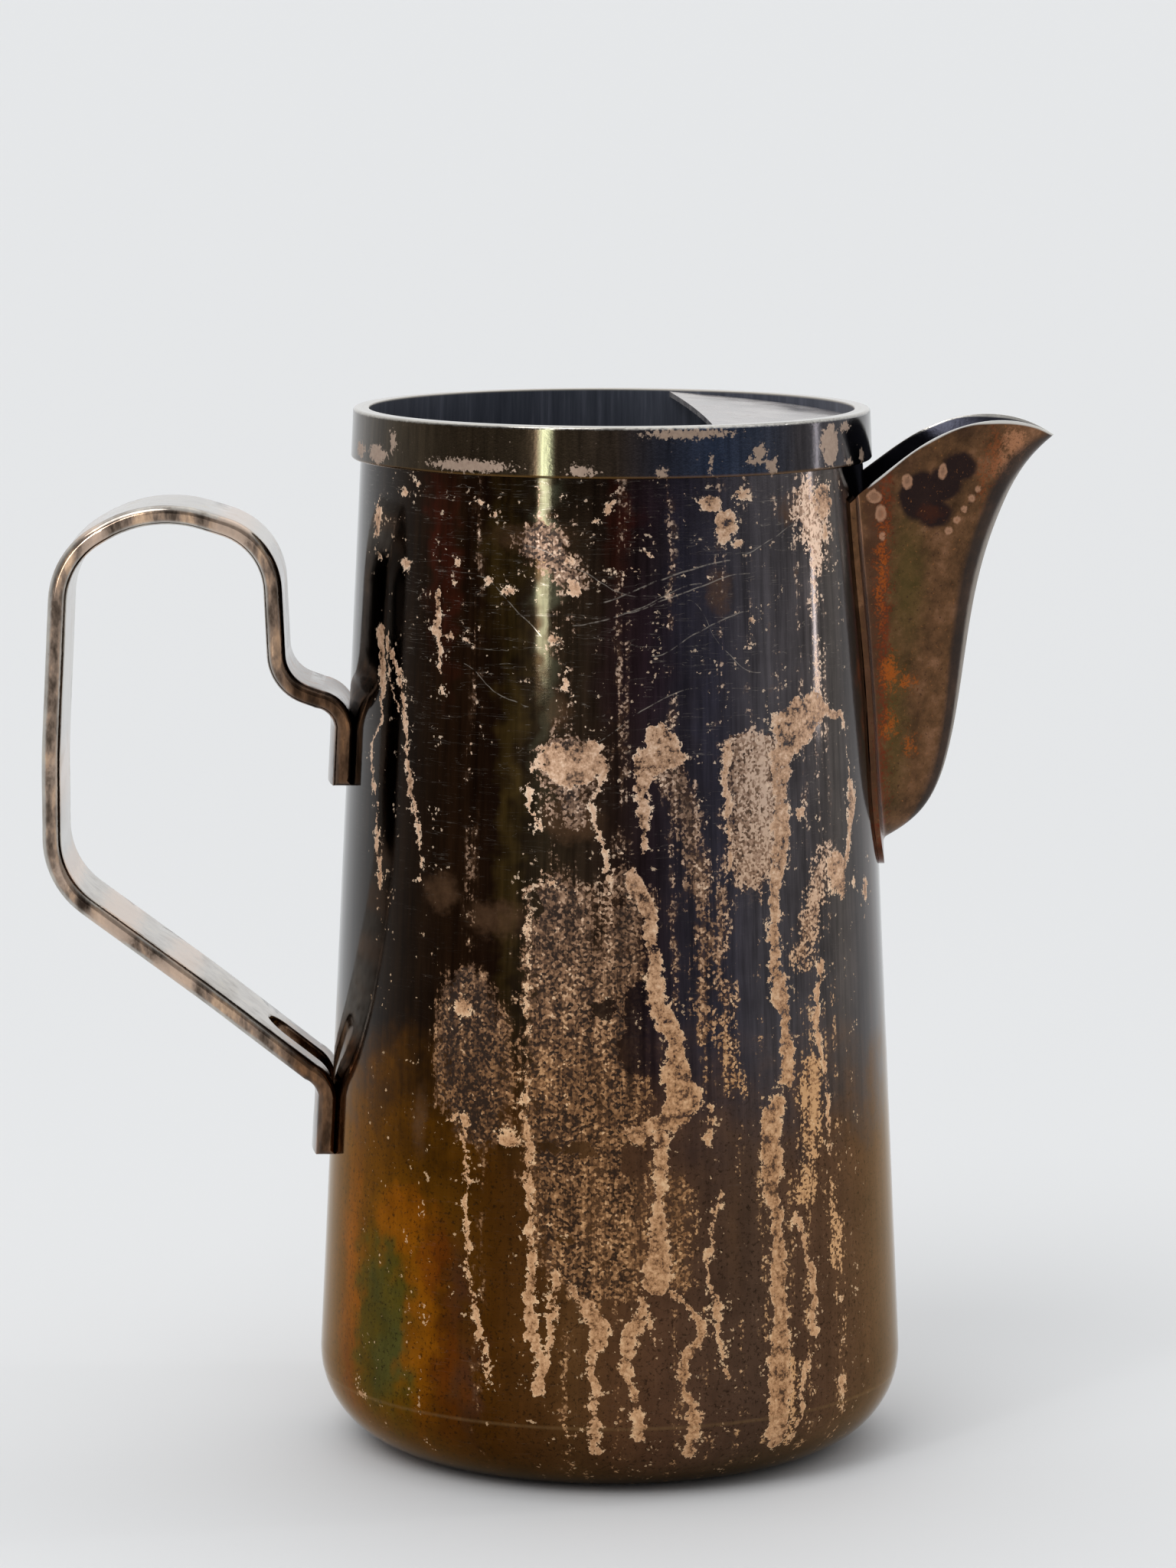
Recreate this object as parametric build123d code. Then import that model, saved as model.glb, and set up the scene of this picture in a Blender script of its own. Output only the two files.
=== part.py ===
from build123d import *
import os
from math import atan2, cos, degrees, hypot

# Water pitcher in plated sheet metal, about 1.5 litres, in millimetres.
# +Z is up, the origin is on the table under the middle of the base, the spout points along +X
# and the strap handle stands along -X.

# Tapered body
height = 200.0  # table to the top of the rim
table_radius = 57.1  # outer radius that the straight wall would reach at the table
mouth_radius = 47.4  # outer radius of the wall at the rim
sheet = 1.2  # thickness of the wall and of the base
corner_radius = 17.5  # outer bend between the wall and the flat base
seam_height = 14.4  # soldered joint between the base pan and the wall
mouth_round = 0.3  # eased inner edge of the mouth

# Rim band, wrapped round the outside of the mouth
band_height = 9.5
band_thickness = 1.8
band_top_round = 0.6
band_low_round = 0.5

# Ice guard, a thin plate across the spout side of the mouth
guard_sheet = 1.0
guard_reach = 16.0  # from the pitcher's axis to the middle of its free edge
guard_depth = 0.5  # free edge below the rim
guard_tilt = 3.4  # degrees down towards the spout
guard_turn = 4.2  # degrees out of square with the spout
guard_hollow_radius = 1150.0  # very shallow hollow of the free edge

# Strainer, drilled through the wall behind the spout
hole_diameter = 4.0
hole_rows = 7
row_pitch = 7.6
hole_pitch = 7.2  # between the holes of one row, round the wall
low_row_drop = 68.0  # lowest row, below the rim

# Spout, formed from one sheet. Each level section is given by: drop below the rim, reach of the
# keel beyond the wall, half width at the root, reach and half width of the shoulder where the
# flat side turns into the keel, and bluntness of the keel.
spout_sheet = 1.0
spout_root_depth = 8.0  # the sections start this far inside the wall, where they are cut off
spout_root_round = 1.5  # soft bend between the flange and the spout
spout_sections = [
    (83.4, 0.4, 7.4, -3.6, 3.4, 1.2),
    (81.6, 3.6, 9.0, -0.6, 3.6, 1.3),
    (78.4, 7.8, 11.0, 3.4, 3.6, 1.5),
    (73.8, 11.2, 12.6, 7.4, 3.4, 1.8),
    (66.0, 14.2, 13.4, 10.6, 3.7, 2.4),
    (54.0, 16.9, 14.0, 12.0, 5.3, 3.8),
    (42.0, 19.1, 15.4, 13.8, 6.6, 5.0),
    (30.0, 22.0, 17.2, 16.0, 7.8, 6.0),
    (18.0, 26.7, 18.4, 18.6, 9.0, 6.2),
    (11.0, 30.9, 18.8, 20.6, 10.6, 4.6),
    (5.2, 36.8, 19.2, 22.2, 12.2, 1.8),
    (1.0, 42.6, 19.6, 23.4, 13.0, 1.2),
]
lip_points = [  # side view of the lip: reach beyond the wall, drop below the rim
    (-8.5, 24.0),
    (-3.4, 17.3),
    (2.4, 12.6),
    (11.9, 5.8),
    (23.1, 2.1),
    (32.2, 3.0),
    (36.8, 5.2),
    (42.5, 10.0),
]

# Flange turned outwards round the spout's root
flange_points = [  # drop below the rim, half width
    (9.0, 18.2),
    (24.0, 17.9),
    (36.5, 16.0),
    (52.0, 13.4),
    (68.0, 12.2),
    (78.0, 11.0),
    (84.0, 7.8),
    (88.0, 0.0),
]

# Handle, one flat strap bent in its own plane. Heights, drops and reaches of its bends are those
# of the corners of its middle line.
strap_width = 24.8
strap_thickness = 3.6
strap_edge_round = 1.4
handle_reach = 108.4  # axis to the outer face of the grip
arch_drop = 17.7  # crown of the arch below the rim
arch_corners = [  # in from the grip, below the crown and radius, in spans from grip to neck
    (0.046, 0.234, 0.352),
    (0.449, 0.0, 0.549),
    (0.971, 0.162, 0.303),
]
neck_gap = 13.5  # wall to the foot of the neck
neck_drop = 52.0  # foot of the neck below the rim
upper_arm_fall = 4.2  # from the foot of the neck to the upper bend
upper_tab_length = 15.2  # from the upper bend down
grip_bend_height = 110.2  # where the grip turns into the lower arm
grip_straight = 23.8  # plumb part of the grip above that bend
arm_bow_share = 0.42  # slight bow of the lower arm, this far along it from the wall
arm_bow_rise = 0.4
lower_bend_height = 71.4
lower_tab_length = 14.3  # from the lower bend down
grip_bow_radius = 160.0
neck_radius = 8.2
upper_bend_radius = 5.5
grip_bend_radius = 16.1
arm_bow_radius = 400.0
lower_bend_radius = 5.6
tab_corner_round = 1.3  # lower corners of both tabs
tab_dressing = 0.15  # taken off the tabs' backs where they are dressed to the wall
edge_fullness = 0.55  # pull of the corner curves of the strap's section
slot_width = 9.4
slot_arm_run = 7.2  # from the lower bend to the middle of the slot's upper round end
slot_tab_run = 1.0  # from the lower bend to the middle of its lower round end
slot_edge_round = 0.6

wall_tilt = atan2(table_radius - mouth_radius, height)
level_sheet = sheet / cos(wall_tilt)
full_turn = 360.0
past = 1.0  # how far a cutting shape runs past what it cuts
bend_steps = 6  # sections across a bend of the strap


def wall_radius(z):
    """Outer radius of the straight wall at height z."""
    return table_radius + (mouth_radius - table_radius) * z / height


def turned(points, radii):
    """Solid turned about Z from (radius, height) points, each with its own corner radius."""
    outline = Plane.XZ * FilletPolyline(*points, radius=radii, close=True)
    return revolve(make_face(outline), axis=Axis.Z, revolution_arc=full_turn)


def wall_cone(offset, low, high):
    """Solid bounded by the wall's outer surface moved out by offset, between two heights."""
    shift = offset / cos(wall_tilt)
    return turned(
        [(0, low), (wall_radius(low) + shift, low), (wall_radius(high) + shift, high), (0, high)],
        [0, 0, 0, 0],
    )


def body_shell():
    """Wall and base as one turned shell, before it is parted at the seam."""
    top = height + past
    outside = turned(
        [(0, 0), (table_radius, 0), (mouth_radius, height), (0, height)],
        [0, corner_radius, 0, 0],
    )
    inside = turned(
        [
            (0, sheet),
            (wall_radius(sheet) - level_sheet, sheet),
            (wall_radius(top) - level_sheet, top),
            (0, top),
        ],
        [0, corner_radius - sheet, 0, 0],
    )
    return outside - inside


def level_slab(low, high):
    """Wide flat block between two heights."""
    width = 4 * table_radius
    return Pos(0, 0, (low + high) / 2) * Box(width, width, high - low)


def strainer_drills():
    """Radial drills in staggered rows, two and three to a row."""
    drills = []
    for row in range(hole_rows):
        z = height - low_row_drop + row * row_pitch
        across = 2 + row % 2
        for k in range(across):
            turn = degrees((k - (across - 1) / 2) * hole_pitch / wall_radius(z))
            drill = Cylinder(hole_diameter / 2, 4 * sheet, rotation=(0, 90, 0))
            drills.append(Rot(0, 0, turn) * Pos(wall_radius(z) - sheet / 2, 0, z) * drill)
    return drills


def body_wall():
    wall = body_shell() & level_slab(seam_height, height + past)
    for drill in strainer_drills():
        wall -= drill
    rims = wall.edges().filter_by(GeomType.CIRCLE).group_by(Axis.Z)[-1]
    return fillet(rims.sort_by(SortBy.RADIUS)[0], mouth_round)


def base_pan():
    return body_shell() & level_slab(-past, seam_height)


def rim_band():
    low = height - band_height
    return turned(
        [
            (wall_radius(low), low),
            (wall_radius(low) + band_thickness, low),
            (mouth_radius + band_thickness, height),
            (mouth_radius, height),
        ],
        [0, band_low_round, band_top_round, 0],
    )


def ice_guard():
    """Thin plate that closes the spout side of the mouth, cut to the inside of the wall."""
    mouth = wall_cone(-sheet, height - 3 * band_height, height)
    edge_height = height - guard_depth
    length = 2 * table_radius
    plate = Pos(0, 0, -guard_sheet / 2) * Box(length, length, guard_sheet)
    plate = Pos(guard_reach, 0, edge_height) * Rot(0, guard_tilt, 0) * plate
    hollow = Cylinder(guard_hollow_radius, 2 * band_height)
    plate -= Pos(guard_reach - guard_hollow_radius, 0, edge_height) * hollow
    return (Rot(0, 0, guard_turn) * plate) & mouth


def spout_section(z, keel_x, root, shoulder, blunt):
    """Level face of the spout: a flat side, a shoulder and a rounded keel, mirrored in XZ."""
    root_x = wall_radius(z) - spout_root_depth
    shoulder_x, shoulder_y = shoulder
    right = [(root_x, -root, z), (shoulder_x, -shoulder_y, z), (keel_x, -blunt, z), (keel_x, 0, z)]
    left = [(x, -y, z) for x, y, z in reversed(right)]
    return make_face(Bezier(*right) + Bezier(*left) + Line(left[-1], right[0]))


def spout_form(inset):
    """Lofted body of the spout, with its whole surface moved inwards by inset."""
    keel_line = [(wall_radius(height - s[0]) + s[1], height - s[0]) for s in spout_sections]
    faces = []
    for k, (drop, _, root, shoulder_reach, shoulder_width, blunt) in enumerate(spout_sections):
        before = keel_line[max(k - 1, 0)]
        after = keel_line[min(k + 1, len(keel_line) - 1)]
        run, rise = after[0] - before[0], after[1] - before[1]
        length = hypot(run, rise)
        keel_x = keel_line[k][0] - inset * rise / length
        z = keel_line[k][1] + inset * run / length
        shoulder_x = wall_radius(height - drop) + shoulder_reach - inset / 2
        shoulder = (shoulder_x, shoulder_width - inset)
        faces.append(spout_section(z, keel_x, root - 1.1 * inset, shoulder, blunt - inset / 2))
    return loft(faces)


def flange_form():
    """Leaf-shaped skirt on the wall round the spout's root, with a tongue at its lower end."""
    side = [(width, height - drop) for drop, width in flange_points]
    other = [(-width, z) for width, z in reversed(side[:-1])]
    outline = Plane.YZ * (Spline(*side, *other) + Line(other[-1], side[0]))
    reach = table_radius + past
    prism = extrude(make_face(outline), reach, dir=(1, 0, 0))
    low = height - flange_points[-1][0] - past
    return wall_cone(spout_sheet, low, height) & prism


def lip_cutter():
    """Everything above the lip's side view."""
    lip = [(mouth_radius + reach, height - drop) for reach, drop in lip_points]
    far_x, near_x, top = 2 * lip[-1][0], lip[0][0], height + 10 * past
    rest = Polyline(lip[-1], (far_x, lip[-1][1]), (far_x, top), (near_x, top), lip[0])
    outline = Plane.XZ * (Spline(*lip) + rest)
    return extrude(make_face(outline), table_radius, both=True)


def spout():
    low = height - flange_points[-1][0] - 10 * past
    outside, flange = spout_form(0), flange_form()
    shape = outside + flange
    root = new_edges(outside, flange, combined=shape).sort_by(SortBy.LENGTH)[-1]
    shape = fillet(root, spout_root_round)
    shape -= spout_form(spout_sheet)
    shape -= wall_cone(0, low, height + 10 * past)
    return shape - lip_cutter()


def upper_bend_height():
    return height - neck_drop - upper_arm_fall


def tab_ends():
    """Heights at which the lower and the upper tab end."""
    return lower_bend_height - lower_tab_length, upper_bend_height() - upper_tab_length


def bowed_middle(start, end):
    """Point beside the straight line between two (x, z) points, where the lower arm is bowed."""
    run, rise = end[0] - start[0], end[1] - start[1]
    lift = arm_bow_rise / hypot(run, rise)
    x = start[0] + arm_bow_share * run + lift * rise
    z = start[1] + arm_bow_share * rise - lift * run
    return x, z


def strap_path():
    """Middle line of the strap in XZ, from the lower tab round the grip and arch to the upper tab."""
    middle = strap_thickness / 2
    seat = (middle - tab_dressing) / cos(wall_tilt)
    low_end, high_end = tab_ends()
    grip_x = -(handle_reach - middle)
    grip_foot = (grip_x, grip_bend_height)
    low_bend = (-(wall_radius(lower_bend_height) + seat), lower_bend_height)
    crown_z = height - arch_drop
    neck_z = height - neck_drop
    neck_x = -(wall_radius(neck_z) + neck_gap)
    span = neck_x - grip_x
    bend_z = upper_bend_height()
    points = [
        (-(wall_radius(low_end) + seat), low_end),
        low_bend,
        bowed_middle(low_bend, grip_foot),
        grip_foot,
        (grip_x, grip_bend_height + grip_straight),
        *[(grip_x + span * along, crown_z - span * down) for along, down, _ in arch_corners],
        (neck_x, neck_z),
        (-(wall_radius(bend_z) + seat), bend_z),
        (-(wall_radius(high_end) + seat), high_end),
    ]
    radii = [
        lower_bend_radius,
        arm_bow_radius,
        grip_bend_radius,
        grip_bow_radius,
        *[span * share for _, _, share in arch_corners],
        neck_radius,
        upper_bend_radius,
    ]
    return points, radii


def strap_section(edge, at, fall):
    """Face of the strap across its path. Its sides lie fall lower than its middle, so that a tab
    follows the round wall; with no fall the strap is flat."""
    half = strap_width / 2
    skin = strap_thickness / 2
    flat = half - strap_edge_round
    slope = 2 * fall * flat / half**2
    drop = fall * (flat / half) ** 2
    side = skin - strap_edge_round
    pull = edge_fullness * strap_edge_round
    corner_drop = drop + slope * strap_edge_round
    quarter = []
    for face in (1, -1):
        quarter.append(
            [
                (flat, face * skin - drop),
                (flat + pull, face * skin - drop - slope * pull),
                (half, face * (side + pull) - corner_drop),
                (half, face * side - corner_drop),
            ]
        )
    upper, lower = quarter[0], quarter[1][::-1]
    right = Bezier(*upper) + Line(upper[-1], lower[0]) + Bezier(*lower)
    bottom = Bezier(lower[-1], (0, drop - skin), (-lower[-1][0], lower[-1][1]))
    top = Bezier(upper[0], (0, drop + skin), (-upper[0][0], upper[0][1]))
    across = make_face(right + bottom + mirror(right, about=Plane.YZ) + top)
    return Plane(origin=edge @ at, x_dir=(0, 1, 0), z_dir=edge % at) * across


def tab_fall(z):
    """How far the wall at height z falls away under half of the strap's width."""
    return (strap_width / 2) ** 2 / (2 * wall_radius(z))


def tab_outline(low):
    """Block that rounds off the lower corners of the tab that ends at height low."""
    block = Pos(0, 0, low + height / 2) * Box(4 * table_radius, strap_width, height)
    return fillet(block.edges().filter_by(Axis.X).group_by(Axis.Z)[0], tab_corner_round)


def handle_slot(tab, bend, arm):
    """Round-ended cutter that follows the strap's middle line round the lower bend."""
    low = tab.trim(1 - slot_tab_run / tab.length, 1)
    high = arm.trim(0, slot_arm_run / arm.length)
    depth = 2 * strap_thickness
    start = Plane(origin=low @ 0, x_dir=(0, 1, 0), z_dir=low % 0)
    cutter = sweep(start * Rectangle(slot_width, depth), path=Wire([low, bend, high]))
    for line, at in ((low, 0), (high, 1)):
        face = Plane(origin=line @ at, x_dir=(0, 1, 0), z_dir=(line % at).cross(Vector(0, 1, 0)))
        cutter += face * Cylinder(slot_width / 2, depth)
    return cutter


def strap_bend(edge, first_fall, last_fall):
    """Bend in which the strap passes from one fall to another, lofted through bend_steps."""
    change = last_fall - first_fall
    shares = [k / bend_steps for k in range(bend_steps + 1)]
    return loft([strap_section(edge, share, first_fall + change * share) for share in shares])


def handle():
    points, radii = strap_path()
    run = (Plane.XZ * FilletPolyline(*points, radius=radii)).edges()
    low_end, high_end = tab_ends()
    low_fall = tab_fall(lower_bend_height)
    top_fall = -tab_fall(upper_bend_height())
    lower_tab = sweep(strap_section(run[0], 0, low_fall), path=run[0])
    lower_tab &= tab_outline(low_end)
    upper_tab = sweep(strap_section(run[-1], 0, top_fall), path=run[-1])
    upper_tab &= tab_outline(high_end)
    loop = sweep(strap_section(run[2], 0, 0), path=Wire(list(run[2:-2])))
    strap = lower_tab + strap_bend(run[1], low_fall, 0) + loop
    strap += strap_bend(run[-2], 0, top_fall) + upper_tab
    slot = handle_slot(run[0], run[1], run[2])
    slotted = strap - slot
    rims = new_edges(strap, slot, combined=slotted)
    return fillet(rims, slot_edge_round) - wall_cone(0, 0, height)


def main():
    """Build every piece and write it to its own file."""
    os.makedirs("parts", exist_ok=True)
    makers = [body_wall, base_pan, rim_band, ice_guard, spout, handle]
    for make in makers:
        export_step(make(), f"parts/{make.__name__}.step")


if __name__ == "__main__":
    main()
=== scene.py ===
from math import degrees, pi, radians

import bpy
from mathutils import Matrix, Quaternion, Vector


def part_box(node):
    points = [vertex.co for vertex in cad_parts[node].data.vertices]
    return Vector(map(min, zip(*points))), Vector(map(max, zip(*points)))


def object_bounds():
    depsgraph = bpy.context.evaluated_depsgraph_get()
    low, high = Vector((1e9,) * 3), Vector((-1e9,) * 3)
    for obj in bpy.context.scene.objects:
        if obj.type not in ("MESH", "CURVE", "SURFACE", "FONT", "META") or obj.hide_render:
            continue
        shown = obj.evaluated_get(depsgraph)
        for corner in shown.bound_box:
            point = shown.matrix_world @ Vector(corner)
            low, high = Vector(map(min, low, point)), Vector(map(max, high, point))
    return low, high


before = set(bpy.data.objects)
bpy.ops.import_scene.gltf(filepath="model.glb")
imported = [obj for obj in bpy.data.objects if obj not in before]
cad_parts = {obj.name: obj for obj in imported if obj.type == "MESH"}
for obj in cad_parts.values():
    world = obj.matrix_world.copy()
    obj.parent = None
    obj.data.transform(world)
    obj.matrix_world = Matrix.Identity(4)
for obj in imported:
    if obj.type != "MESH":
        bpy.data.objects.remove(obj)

# Body wall and base pan
# The body is a tapered tube of silver-plated nickel silver, closed by a spun pan that is soldered
# on just above its round corner. Both were polished together, and the tarnish and the dried
# splashes of polish run across the joint, so they share one finish.

cad_box = [list(corner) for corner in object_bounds()]


def linear(colour):
    """Red, green, blue and alpha as light values, from an sRGB hex colour."""
    parts = [int(colour[i : i + 2], 16) / 255 for i in (1, 3, 5)]
    return (*[c / 12.92 if c <= 0.04045 else ((c + 0.055) / 1.055) ** 2.4 for c in parts], 1.0)


def add(tree, kind, settings=None, links=None):
    """Add a node. Settings are ramp stops, curve points, socket values or attributes.

    The first two stops of a ramp are its two ends, and the rest lie between them."""
    node = tree.nodes.new(kind)
    for name, value in (settings or {}).items():
        if name == "stops":
            for i, (place, colour) in enumerate(value):
                stop = node.color_ramp.elements[i] if i < 2 else node.color_ramp.elements.new(place)
                stop.position, stop.color = place, linear(colour)
        elif name == "points":
            line = node.mapping.curves[0]
            line.points[0].location, line.points[1].location = value[0], value[-1]
            for point in value[1:-1]:
                line.points.new(*point)
            for point in line.points:
                point.handle_type = "AUTO_CLAMPED"
            node.mapping.update()
        elif isinstance(name, int) or name in node.inputs:
            node.inputs[name].default_value = value
        else:
            setattr(node, name, value)
    for name, source in (links or {}).items():
        tree.links.new(source, node.inputs[name])
    return node


def surface(name):
    """A new material, its nodes, the point on the piece in millimetres and the way it faces."""
    metal = bpy.data.materials.new(name)
    metal.use_nodes = True
    tree = metal.node_tree
    tree.nodes.clear()
    place = add(tree, "ShaderNodeTexCoord")
    mm = add(tree, "ShaderNodeVectorMath", {"operation": "SCALE", 3: 1000},
        {0: place.outputs["Object"]})
    return metal, tree, mm.outputs[0], place.outputs["Normal"]


def round_the_wall(tree, mm):
    """Degrees round from the front, height, and 1 on the rear half. The rear mirrors the front."""
    x, y, z = add(tree, "ShaderNodeSeparateXYZ", links={0: mm}).outputs
    depth = add(tree, "ShaderNodeMath", {"operation": "ABSOLUTE"}, {0: y})
    turn = add(tree, "ShaderNodeMath", {"operation": "ARCTAN2"}, {0: x, 1: depth.outputs[0]})
    turn = add(tree, "ShaderNodeMath", {"operation": "MULTIPLY", 1: degrees(1)},
        {0: turn.outputs[0]})
    rear = add(tree, "ShaderNodeMath", {"operation": "GREATER_THAN", 1: 0.0}, {0: y})
    return turn.outputs[0], z, rear.outputs[0]


def stain(tree, at, courses=(), spots=()):
    """Millimetres inside the nearest stain, less than 0 outside all of them.

    A course is a drip or patch, as (height, centre, half width) from top to bottom. A spot is
    an oval, as (across, height, half width, half height)."""
    # Curves run from 0 to 1, which stands here for 200 units across and 12 mm of depth.
    across_span, depth_span = 200, 12
    depths = []
    if courses:
        apart = add(tree, "ShaderNodeSeparateXYZ", links={0: at})
        across = {"operation": "MULTIPLY_ADD", 1: 1 / across_span, 2: 0.5}
        across = add(tree, "ShaderNodeMath", across, {0: apart.outputs[0]}).outputs[0]
    for course in courses:
        top, bottom = course[0], course[-1]
        high, low = top[0] + 0.3 + 0.6 * top[2], bottom[0] - 0.3 - 0.6 * bottom[2]
        course = [(high, top[1], -1), *course, (low, bottom[1], -1)]
        steps = [((z - low) / (high - low), c, h) for z, c, h in course][::-1]
        along = add(tree, "ShaderNodeMapRange", {1: low, 2: high}, {0: apart.outputs[1]}).outputs[0]
        middle = {"points": [(t, c / across_span + 0.5) for t, c, h in steps]}
        middle = add(tree, "ShaderNodeFloatCurve", middle, {1: along}).outputs[0]
        width = {"points": [(t, (h + 1) / depth_span) for t, c, h in steps]}
        width = add(tree, "ShaderNodeFloatCurve", width, {1: along}).outputs[0]
        off = add(tree, "ShaderNodeMath", {"operation": "SUBTRACT"}, {0: across, 1: middle})
        off = add(tree, "ShaderNodeMath", {"operation": "ABSOLUTE"}, {0: off.outputs[0]}).outputs[0]
        depth = {"operation": "MULTIPLY_ADD", 1: -across_span / depth_span}
        depths.append(add(tree, "ShaderNodeMath", depth, {0: off, 2: width}).outputs[0])
    for x, z, wide, tall in spots:
        oval = {"operation": "MULTIPLY_ADD", 1: (1 / wide, 1 / tall, 0),
            2: (-x / wide, -z / tall, 0)}
        oval = add(tree, "ShaderNodeVectorMath", oval, {0: at})
        oval = add(tree, "ShaderNodeVectorMath", {"operation": "LENGTH"}, {0: oval.outputs[0]})
        size = min(wide, tall)
        depth = {"operation": "MULTIPLY_ADD", 1: -size / depth_span, 2: (1 + size) / depth_span}
        depths.append(add(tree, "ShaderNodeMath", depth, {0: oval.outputs[1]}).outputs[0])
    deepest = depths[0]
    for depth in depths[1:]:
        deepest = add(tree, "ShaderNodeMath", {"operation": "MAXIMUM"},
            {0: depth, 1: deepest}).outputs[0]
    scale = {"operation": "MULTIPLY_ADD", 1: depth_span, 2: -1.0}
    return add(tree, "ShaderNodeMath", scale, {0: deepest}).outputs[0]


def wobble(tree, mm, noise, across, along):
    """A shift of up to so many millimetres either way, for ragged outlines."""
    noise = add(tree, "ShaderNodeTexNoise", noise, {"Vector": mm}).outputs["Color"]
    swing = {"operation": "MULTIPLY_ADD", 1: (2 * across, 2 * along, 0), 2: (-across, -along, 0)}
    return add(tree, "ShaderNodeVectorMath", swing, {0: noise}).outputs[0]


def bitten(tree, depth, *noises):
    """A depth with noises added, each as (noise, weight), which eat into its outline."""
    for noise, weight in noises:
        more = {"operation": "MULTIPLY_ADD", 1: weight}
        depth = add(tree, "ShaderNodeMath", more, {0: noise, 2: depth}).outputs[0]
    return depth


def coat(metal, shader, *pieces):
    """Close a material with its shader and put it on the pieces."""
    add(metal.node_tree, "ShaderNodeOutputMaterial", links={0: shader.outputs[0]})
    for piece in pieces:
        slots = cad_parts[piece].data.materials
        slots.clear()
        slots.append(metal)


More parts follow.
